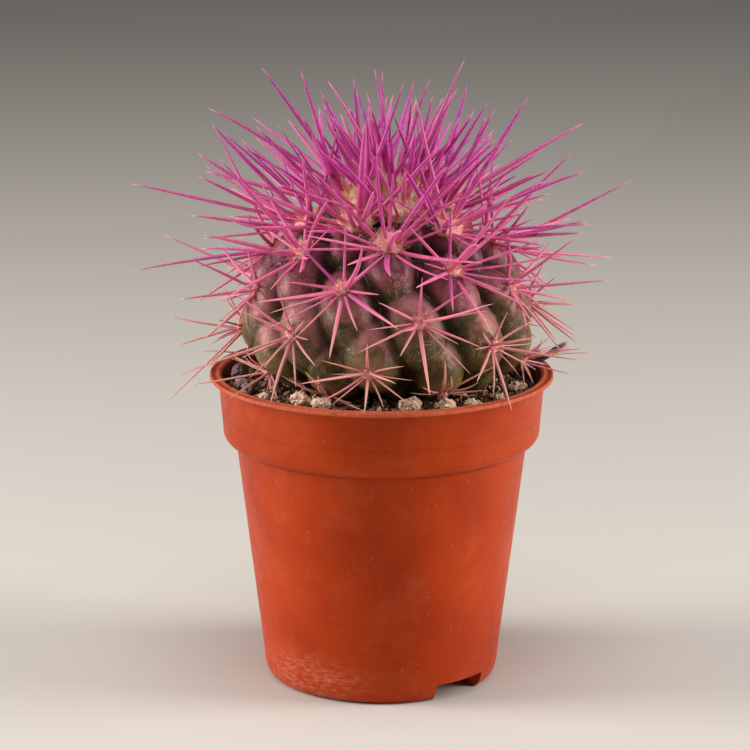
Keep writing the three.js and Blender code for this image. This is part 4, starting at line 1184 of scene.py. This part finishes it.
def make_loose(name, azimuth, middle, size, is_bark, paint, draw):
    """A crumbly chip or a wrinkled piece of bark. It stands where the plain one does."""
    ball, faces = icosphere(LUMP_LEVEL)
    shift = draw(0, LUMP_SHIFTS)
    reach = np.full(len(ball), LUMP_START)
    for _ in range(FACETS):
        facing = unit(np.array([draw(-1, 1), draw(-1, 1), draw(-1, 1)]))
        reach = np.minimum(reach, draw(*FACET_REACH) / np.maximum(ball @ facing, FACET_SIGHT))
    folds = np.abs(noise_at(ball * (BARK_STRETCH if is_bark else CHIP_STRETCH), 1, 3, shift))
    crease = smooth_step(folds, FOLD_WIDTH, 0)
    wrinkle = LUMP_ROUGHNESS * (folds - FOLD_MEAN - FOLD_DEPTH * crease) * (1 if is_bark else CHIP_SMOOTHER)
    height, scale, octaves, offset = LUMP_BUMPS
    grow = reach * (1 + height * noise_at(ball, scale, octaves, shift + offset) + wrinkle)
    points = ball * np.minimum(grow, LUMP_LARGEST)[:, None] * size / 2 * (BARK_LONGER if is_bark else 1)
    turn = turn_about(azimuth).T
    crumb, crumb_faces = icosphere(1)
    shape = Shape("pit", "tint")
    least, more = CHIP_GRAIN_SIZE
    for _ in range(0 if is_bark else CHIP_GRAINS):
        centre = points[int(draw(0, len(points)))] * draw(*CHIP_GRAIN_DEPTH)
        rough = np.array([draw(*CHIP_GRAIN_ROUGH) for _ in crumb])[:, None]
        grain = crumb * rough * np.array([1, *(draw(*span) for span in CHIP_GRAIN_FLAT)])
        grain = (grain * draw(least, least + more * size[0])) @ random_turn(draw).T + centre
        grain[:, 2] = np.maximum(grain[:, 2], -size[2] / 2)
        shape.add(grain @ turn + middle - LUMP_SUNK, crumb_faces, pit=0, tint=draw(0, 1))
    points[:, 2] = np.where(points[:, 2] < 0, points[:, 2] * UNDERSIDE_DEEPER, points[:, 2])
    # The creases carry painted shade as well as their wrinkled shape.
    shape.add(points @ turn + middle - LUMP_SUNK, faces, pit=crease, tint=0.5)
    made = shape.build(name + "_fine", paint)
    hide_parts(name)
    return made


def turn_about(azimuth):
    return np.array(Matrix.Rotation(radians(azimuth), 3, "Z"))


def taper(share, least, start, end):
    return min(1, least + start * share, least + end * (1 - share))


def make_flake():
    """A flake of bark that leans out over the lip, with a frayed end."""
    draw = Draws(FINE_SEED + 2)
    start, end = FLAKE_ENDS
    along = unit(end - start)
    side = place(FLAKE_AZIMUTH + 90, 1, 0)
    out = np.cross(side, along)
    rows, columns = FLAKE_GRID
    edge_scale, length_scale, round_scale = FLAKE_RAGGED_SCALES
    points = []
    run = []
    for row in range(rows):
        share = row / (rows - 1)
        ragged = 1 + FLAKE_RAGGED * noise.noise(Vector((share * edge_scale, 0, 1)))
        narrow = FLAKE_NARROW + (1 - FLAKE_NARROW) * share
        width = FLAKE_WIDTH / 2 * narrow * ragged * taper(share, *FLAKE_WIDE_TAPER)
        thick = FLAKE_THICKNESS / 2 * taper(share, *FLAKE_THICK_TAPER)
        centre = start + (end - start) * share + out * FLAKE_BOW * sin(share * pi)
        for column in range(columns):
            angle = 2 * pi * column / columns
            wide, high = cos(angle), sin(angle)
            spot = Vector((share * length_scale, round_scale * wide, round_scale * high))
            rough = 1 + FLAKE_RAGGED * noise.noise(spot)
            points.append(centre + (side * width * wide + out * thick * high) * rough)
            run.append(share)
    faces = grid_faces(rows, columns)
    faces.append(list(range(columns - 1, -1, -1)))
    faces.append([(rows - 1) * columns + i for i in range(columns)])
    shape = Shape("run")
    shape.add(points, faces, run=run)
    for _ in range(FRAYS):
        far, sideways, outwards = (draw(*span) for span in FRAY_PLACES)
        root = start + (end - start) * far + side * sideways + out * outwards
        sideways, outwards = (draw(*span) for span in FRAY_LEANS)
        reach = unit(along + side * sideways + out * outwards) * draw(*FRAY_LENGTH)
        shape.add(*tube([root, root + reach * FRAY_BEND, root + reach], FRAY_RADII, 3), run=1)
    made = merged(shape.build("bark_flake_fine", Paint("bark_flake").finish()))
    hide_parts("bark_flake")
    return made


# Spines
def is_clear(point):
    distance = hypot(point[0], point[1])
    over_lip = COLLAR_TOP_RADIUS - LIP_INSIDE < distance < LIP_RADIUS + LIP_ROOM
    if over_lip and point[2] < POT_HEIGHT + LIP_ROOM:
        return False
    if distance < COLLAR_TOP_RADIUS and point[2] < soil_height(point[0], point[1]) + SOIL_ROOM:
        return False
    return bool(np.all(np.linalg.norm(BLOCK_POINTS - point, axis=1) > BLOCK_RADII))


def clear_tip(start, direction, length):
    """The spine keeps its length where it can, and bends up until it is clear."""
    for trial in range(2 * BEND_TRIALS):
        lean = unit(direction + np.array([0, 0, BEND_STEP * (trial % BEND_TRIALS)]))
        kept = length if trial < BEND_TRIALS else length * BEND_SHORTER
        tip = start + lean * kept
        if all(is_clear(start + (tip - start) * i / CLEAR_SAMPLES) for i in range(1, CLEAR_SAMPLES + 1)):
            return tip
    return None


def within_reach(start, tip):
    step = tip - start
    share = 1
    for axis, limit in enumerate((REACH, REACH, REACH_UP)):
        if abs(tip[axis]) > limit:
            share = min(share, (copysign(limit, step[axis]) - start[axis]) / step[axis])
    return start + step * share


def to_ball(start, direction):
    """Length from a point along a direction to the flattened ball that the inner spines fill."""
    flatten = np.array([1, 1, BALL_RADIUS / BALL_HALF_HEIGHT])
    offset = (start - np.array([0, 0, BALL_Z])) * flatten
    step = direction * flatten
    half = offset @ step / (step @ step)
    return -half + sqrt(half * half + (BALL_RADIUS ** 2 - offset @ offset) / (step @ step))


def inner_share(n):
    return 1 - LOW_SHORTER * clamp((n - LOW_CUSHION) / (CUSHIONS - LOW_CUSHION), 0, 1)


def leaning(knob, around, rise):
    """The way round a cushion at an angle, and a spine's direction there when it rises off the skin."""
    along = knob.side * cos(around) + knob.up * sin(around)
    direction = along * cos(rise) + knob.out * sin(rise)
    direction[2] += LIFT * exp(-knob.n / CROWN_FADE)
    return along, unit(direction)


def spines_of(knob, draw):
    """Spines of one cushion, where the plain model has them: an even star, then a few in the middle."""
    star = CROWN_OUTER_SPINES if knob.n < CROWN_CUSHIONS else OUTER_SPINES
    long_tips = [np.array(tip) for n, *tip in LONG_SPINES if n == knob.n]
    inner = max(UPPER_INNER_SPINES if knob.n < UPPER_CUSHIONS else INNER_SPINES, len(long_tips))
    base = body_point(knob.out, 0)
    turn = draw(0, 360)
    old = 1 - exp(-knob.n / CROWN_FADE)
    found = []
    for i in range(star + inner):
        outer = i < star
        first, count, spread = (DOWN, star, OUTER_SPREAD) if outer else (turn, inner, INNER_SPREAD)
        around = radians(first + i * 360 / count + draw(-spread, spread))
        mean_rise = OUTER_RISE + CROWN_RISE * exp(-knob.n / CROWN_RISE_FADE) if outer else INNER_RISE
        rise = radians(mean_rise + draw(-RISE_SPREAD, RISE_SPREAD))
        along, direction = leaning(knob, around, rise)
        start = base + along * (SPINE_RING if outer else INNER_RING)
        upward = 1 - UPWARD_SHORTER * max(sin(around), 0) * old
        outer_length = knob.spine_length * upward
        whole = outer_length if outer else to_ball(start, direction) * inner_share(knob.n)
        length = whole * draw(*(OUTER_LENGTHS if outer else INNER_LENGTHS))
        is_long = 0 <= i - star < len(long_tips)
        tip = long_tips[i - star] if is_long else clear_tip(start, direction, length)
        if tip is not None:
            radius = OUTER_SPINE_RADIUS if outer else INNER_SPINE_RADIUS
            found.append((start, within_reach(start, tip), radius * knob.thin))
    return found


def more_spines_of(knob, draw):
    """The rest of a cushion's spines: flat ones between those of the plain model, and steeper ones."""
    is_crown = knob.n < CROWN_CUSHIONS
    crown_rise = CROWN_RISE * exp(-knob.n / CROWN_RISE_FADE)
    flat_turns = () if is_crown else MORE_FLAT_TURNS
    steep = round(MORE_STEEP[0] + (MORE_STEEP[1] - MORE_STEEP[0]) * knob.upper)
    away = 180 if is_crown else STEEP_SPREAD
    reach = STEEP_REACH[0] + STEEP_REACH[1] * knob.upper
    base = body_point(knob.out, 0)
    found = []
    for i in range(len(flat_turns) + steep):
        is_flat = i < len(flat_turns)
        turn, spread = (flat_turns[i], MORE_FLAT_SPREAD) if is_flat else (0, away)
        around = radians(DOWN + turn + draw(-spread, spread))
        rise = radians(draw(*MORE_FLAT_RISE) + crown_rise if is_flat else draw(*MORE_STEEP_RISE))
        along, direction = leaning(knob, around, rise)
        start = base + along * SPINE_RING * draw(*MORE_RING)
        length = knob.spine_length
        if not is_flat:
            length *= STEEP_SHORTER
            length += (to_ball(start, direction) * inner_share(knob.n) - length) * reach
        tip = clear_tip(start, direction, length * draw(*MORE_LENGTHS))
        if tip is not None:
            radius = OUTER_SPINE_RADIUS * draw(*MORE_RADII) * knob.thin
            found.append((start, within_reach(start, tip), radius))
    return found


def spine_path(root, tip, share, draw):
    """A slightly bowed line from root to tip, with the tip hooked down on some."""
    axis = tip - root
    length = np.linalg.norm(axis)
    first, second = across(axis / length)
    angle = draw(0, 2 * pi)
    bow = (first * cos(angle) + second * sin(angle)) * draw(0, BOW) ** 2 * length
    down = np.array([0, 0, -1.0]) + axis / length * axis[2] / length
    hooked = draw(0, 1) < HOOKED_SHARE and length > HOOKED_LENGTH
    hook = draw(*(HOOKS if hooked else STRAIGHTS))
    sway = np.sin(pi * share)[:, None] * bow
    curl = (share ** HOOK_POWER * (1 - share))[:, None] * down * -hook * length
    return root + share[:, None] * axis + sway + curl


def over_skin(path, share):
    """How far a spine has to bow outwards so that it doesn't run through the skin."""
    arms = path - BODY_CENTRE
    distance = np.linalg.norm(arms, axis=1)
    directions = arms / distance[:, None]
    sunk = outline_reach(directions) - skin_drop(directions) + SKIN_ROOM - distance
    free = (share > FREE_SHARES[0]) & (share < FREE_SHARES[1])
    return max(0, float(np.max(sunk[free] / np.sin(pi * share[free]))))


def make_spines():
    draw = Draws(SEED)
    fine = Draws(FINE_SEED)
    shape = Shape("run", "length", "tint", "young")
    share = np.linspace(0, 1, SPINE_RINGS + 1)
    power, more, blunt = SPINE_TAPER
    for knob in KNOB_LIST[:CUSHIONS]:
        base = body_point(knob.out, 0)
        root_share = ROOT_SHARE + UPPER_ROOT_SHARE * knob.upper
        narrow = (1 - share ** (power + more * knob.upper)) ** blunt
        for start, tip, radius in spines_of(knob, draw) + more_spines_of(knob, fine):
            root = base + (start - base) * root_share - knob.out * ROOT_SUNK
            path = spine_path(root, tip, share, fine)
            lift = over_skin(path, share)
            if lift > DEEPEST_LIFT:
                continue
            path = path + np.sin(pi * share)[:, None] * lift * knob.out
            radii = radius * fine(*SPINE_SIZES) * narrow
            points, faces = tube(path, radii, SPINE_SIDES, SPINE_FLAT, fine(*SPINE_TURNS))
            run = np.append(np.repeat(share[:-1], SPINE_SIDES), 1.0)
            length = np.linalg.norm(tip - root)
            shape.add(points, faces, run=run, length=run * length, tint=fine(0, 1), young=knob.young)
    return shape.build("cactus_spines", spine_paint())


# Wool
def make_wool():
    draw = Draws(FINE_SEED + 3)
    ball, faces = icosphere(PAD_LEVEL)
    shape = Shape("young", "heart", "tint")
    for knob in KNOB_LIST[:CUSHIONS]:
        radius = PAD_RADIUS * clamp(knob.width / WOOL_FULL_WIDTH, WOOL_SMALLEST, 1)
        wider = PAD_UPPER_WIDER * knob.upper - PAD_LOW_NARROWER * knob.cone
        radius *= 1 + wider + CROWN_WOOL_WIDER * knob.young
        height = WOOL_HEIGHT * (WOOL_TALL[0] + WOOL_TALL[1] * knob.upper + CROWN_WOOL_TALLER * knob.young)
        lumps = 1
        for size, scale, octaves, offset in PAD_LUMPS:
            lumps = lumps + size * noise_at(ball, scale, octaves, knob.n + offset)
        pad = ball * lumps[:, None] * np.array([radius, radius, height]) * PAD_SHAPE
        heart = smooth_step(np.hypot(pad[:, 0], pad[:, 1]), *HEART_SPAN)
        scale, octaves, offset = PAD_TINT
        tint = 0.5 + 0.5 * noise_at(ball, scale, octaves, knob.n + offset)
        basis = np.array([knob.side, knob.up, knob.out])
        centre = body_point(knob.out, -WOOL_SUNK)
        shape.add(pad @ basis + centre, faces, young=knob.young, heart=heart, tint=tint)
        for _ in range(round(HAIRS[0] + HAIRS[1] * knob.upper)):
            points, hair, heart = hair_on(knob, radius, height, draw)
            shape.add(points @ basis + centre, hair, young=knob.young, heart=heart, tint=draw(0, 1))
    return shape.build("cactus_wool", Paint("wool").finish())


def hair_on(knob, radius, height, draw):
    """One short curled hair, and how near the heart of the pad it stands."""
    angle = draw(0, 2 * pi)
    share = sqrt(draw(0, 1))
    across_pad, along_pad = (radius * part for part in HAIR_RING)
    flat = np.array([cos(angle) * across_pad, sin(angle) * along_pad, 0]) * share
    rise = HAIR_RISE[0] + HAIR_RISE[1] * knob.young
    lean = unit(flat * HAIR_OUTWARD + np.array([draw(*HAIR_LEAN), draw(*HAIR_LEAN), rise]))
    start = flat * HAIR_ROOT[0] + np.array([0, 0, height * HAIR_ROOT[1] * (1 - share)])
    longer = 1 + HAIR_LONGER[0] * knob.upper + HAIR_LONGER[1] * knob.young
    length = draw(*HAIR_LENGTH) * longer * (1 - HAIR_LOW_SHORTER * knob.cone)
    curl = np.array([draw(*span) for span in HAIR_CURL]) * length
    bend = start + lean * length * HAIR_BEND[0] + curl * HAIR_BEND[1]
    thick = HAIR_RADIUS[0] + HAIR_RADIUS[1] * knob.young
    points, faces = tube([start, bend, start + lean * length + curl], [thick, thick * HAIR_TIP], 3)
    return points, faces, draw(*HAIR_HEART) * (1 - share)


# Studio
def make_floor():
    shape = Shape()
    corners = [(-1, -1, 0), (1, -1, 0), (1, 1, 0), (-1, 1, 0)]
    shape.add(np.array(corners) * FLOOR_SIDE, [[0, 1, 2, 3]])
    floor = shape.build("floor", Paint("floor").finish())


def make_light(name, azimuth, distance, height, size, power, colour):
    light = bpy.data.lights.new(name, "AREA")
    light.shape = "RECTANGLE"
    light.size, light.size_y = size[0] * MM, size[1] * MM
    light.energy = power
    light.color = colour
    made = bpy.data.objects.new(name, light)
    where = Vector(place(azimuth, distance, height)) * MM
    turn = (where - Vector(AIM) * MM).to_track_quat("Z", "Y")
    made.matrix_world = Matrix.Translation(where) @ turn.to_matrix().to_4x4()
    bpy.context.scene.collection.objects.link(made)


def make_camera():
    lens = bpy.data.cameras.new("camera")
    lens.sensor_width = SENSOR
    lens.lens = FOCAL_PIXELS / IMAGE_SIDE * SENSOR
    lens.clip_start, lens.clip_end = CLIP
    camera = bpy.data.objects.new("camera", lens)
    tilt = Matrix.Rotation(pi / 2 - CAMERA_PITCH, 4, "X") @ Matrix.Rotation(CAMERA_ROLL, 4, "Z")
    camera.matrix_world = Matrix.Translation(Vector(CAMERA_PLACE) * MM) @ tilt
    bpy.context.scene.collection.objects.link(camera)
    bpy.context.scene.camera = camera


def make_world():
    world = bpy.data.worlds.new("studio")
    world.use_nodes = True
    sky = world.node_tree.nodes["Background"].inputs
    sky["Color"].default_value = (*WARM, 1)
    sky["Strength"].default_value = WORLD_STRENGTH
    bpy.context.scene.world = world
    bpy.context.scene.view_settings.view_transform = "Standard"


make_camera()
make_world()
make_floor()
for light_numbers in LIGHTS:
    make_light(*light_numbers)

pot = make_pot()
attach(pot, "root")
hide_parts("pot")

soil = make_soil()
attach(soil, "root")
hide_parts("soil")

skin = make_skin()
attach(skin, "root")
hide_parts("cactus")
for piece in (make_wool(), make_spines()):
    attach(piece, "root")

chip_material, bark_material = Paint("mineral_chip").finish(), Paint("bark").finish()
loose_draw = Draws(FINE_SEED + 4)
for chip_name, chip_azimuth, chip_middle, chip_size in LOOSE:
    is_bark = chip_name.startswith("bark")
    lump_material = bark_material if is_bark else chip_material
    lump = make_loose(chip_name, chip_azimuth, chip_middle, chip_size, is_bark, lump_material, loose_draw)
    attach(lump, "root")
flake = make_flake()
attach(flake, "root")
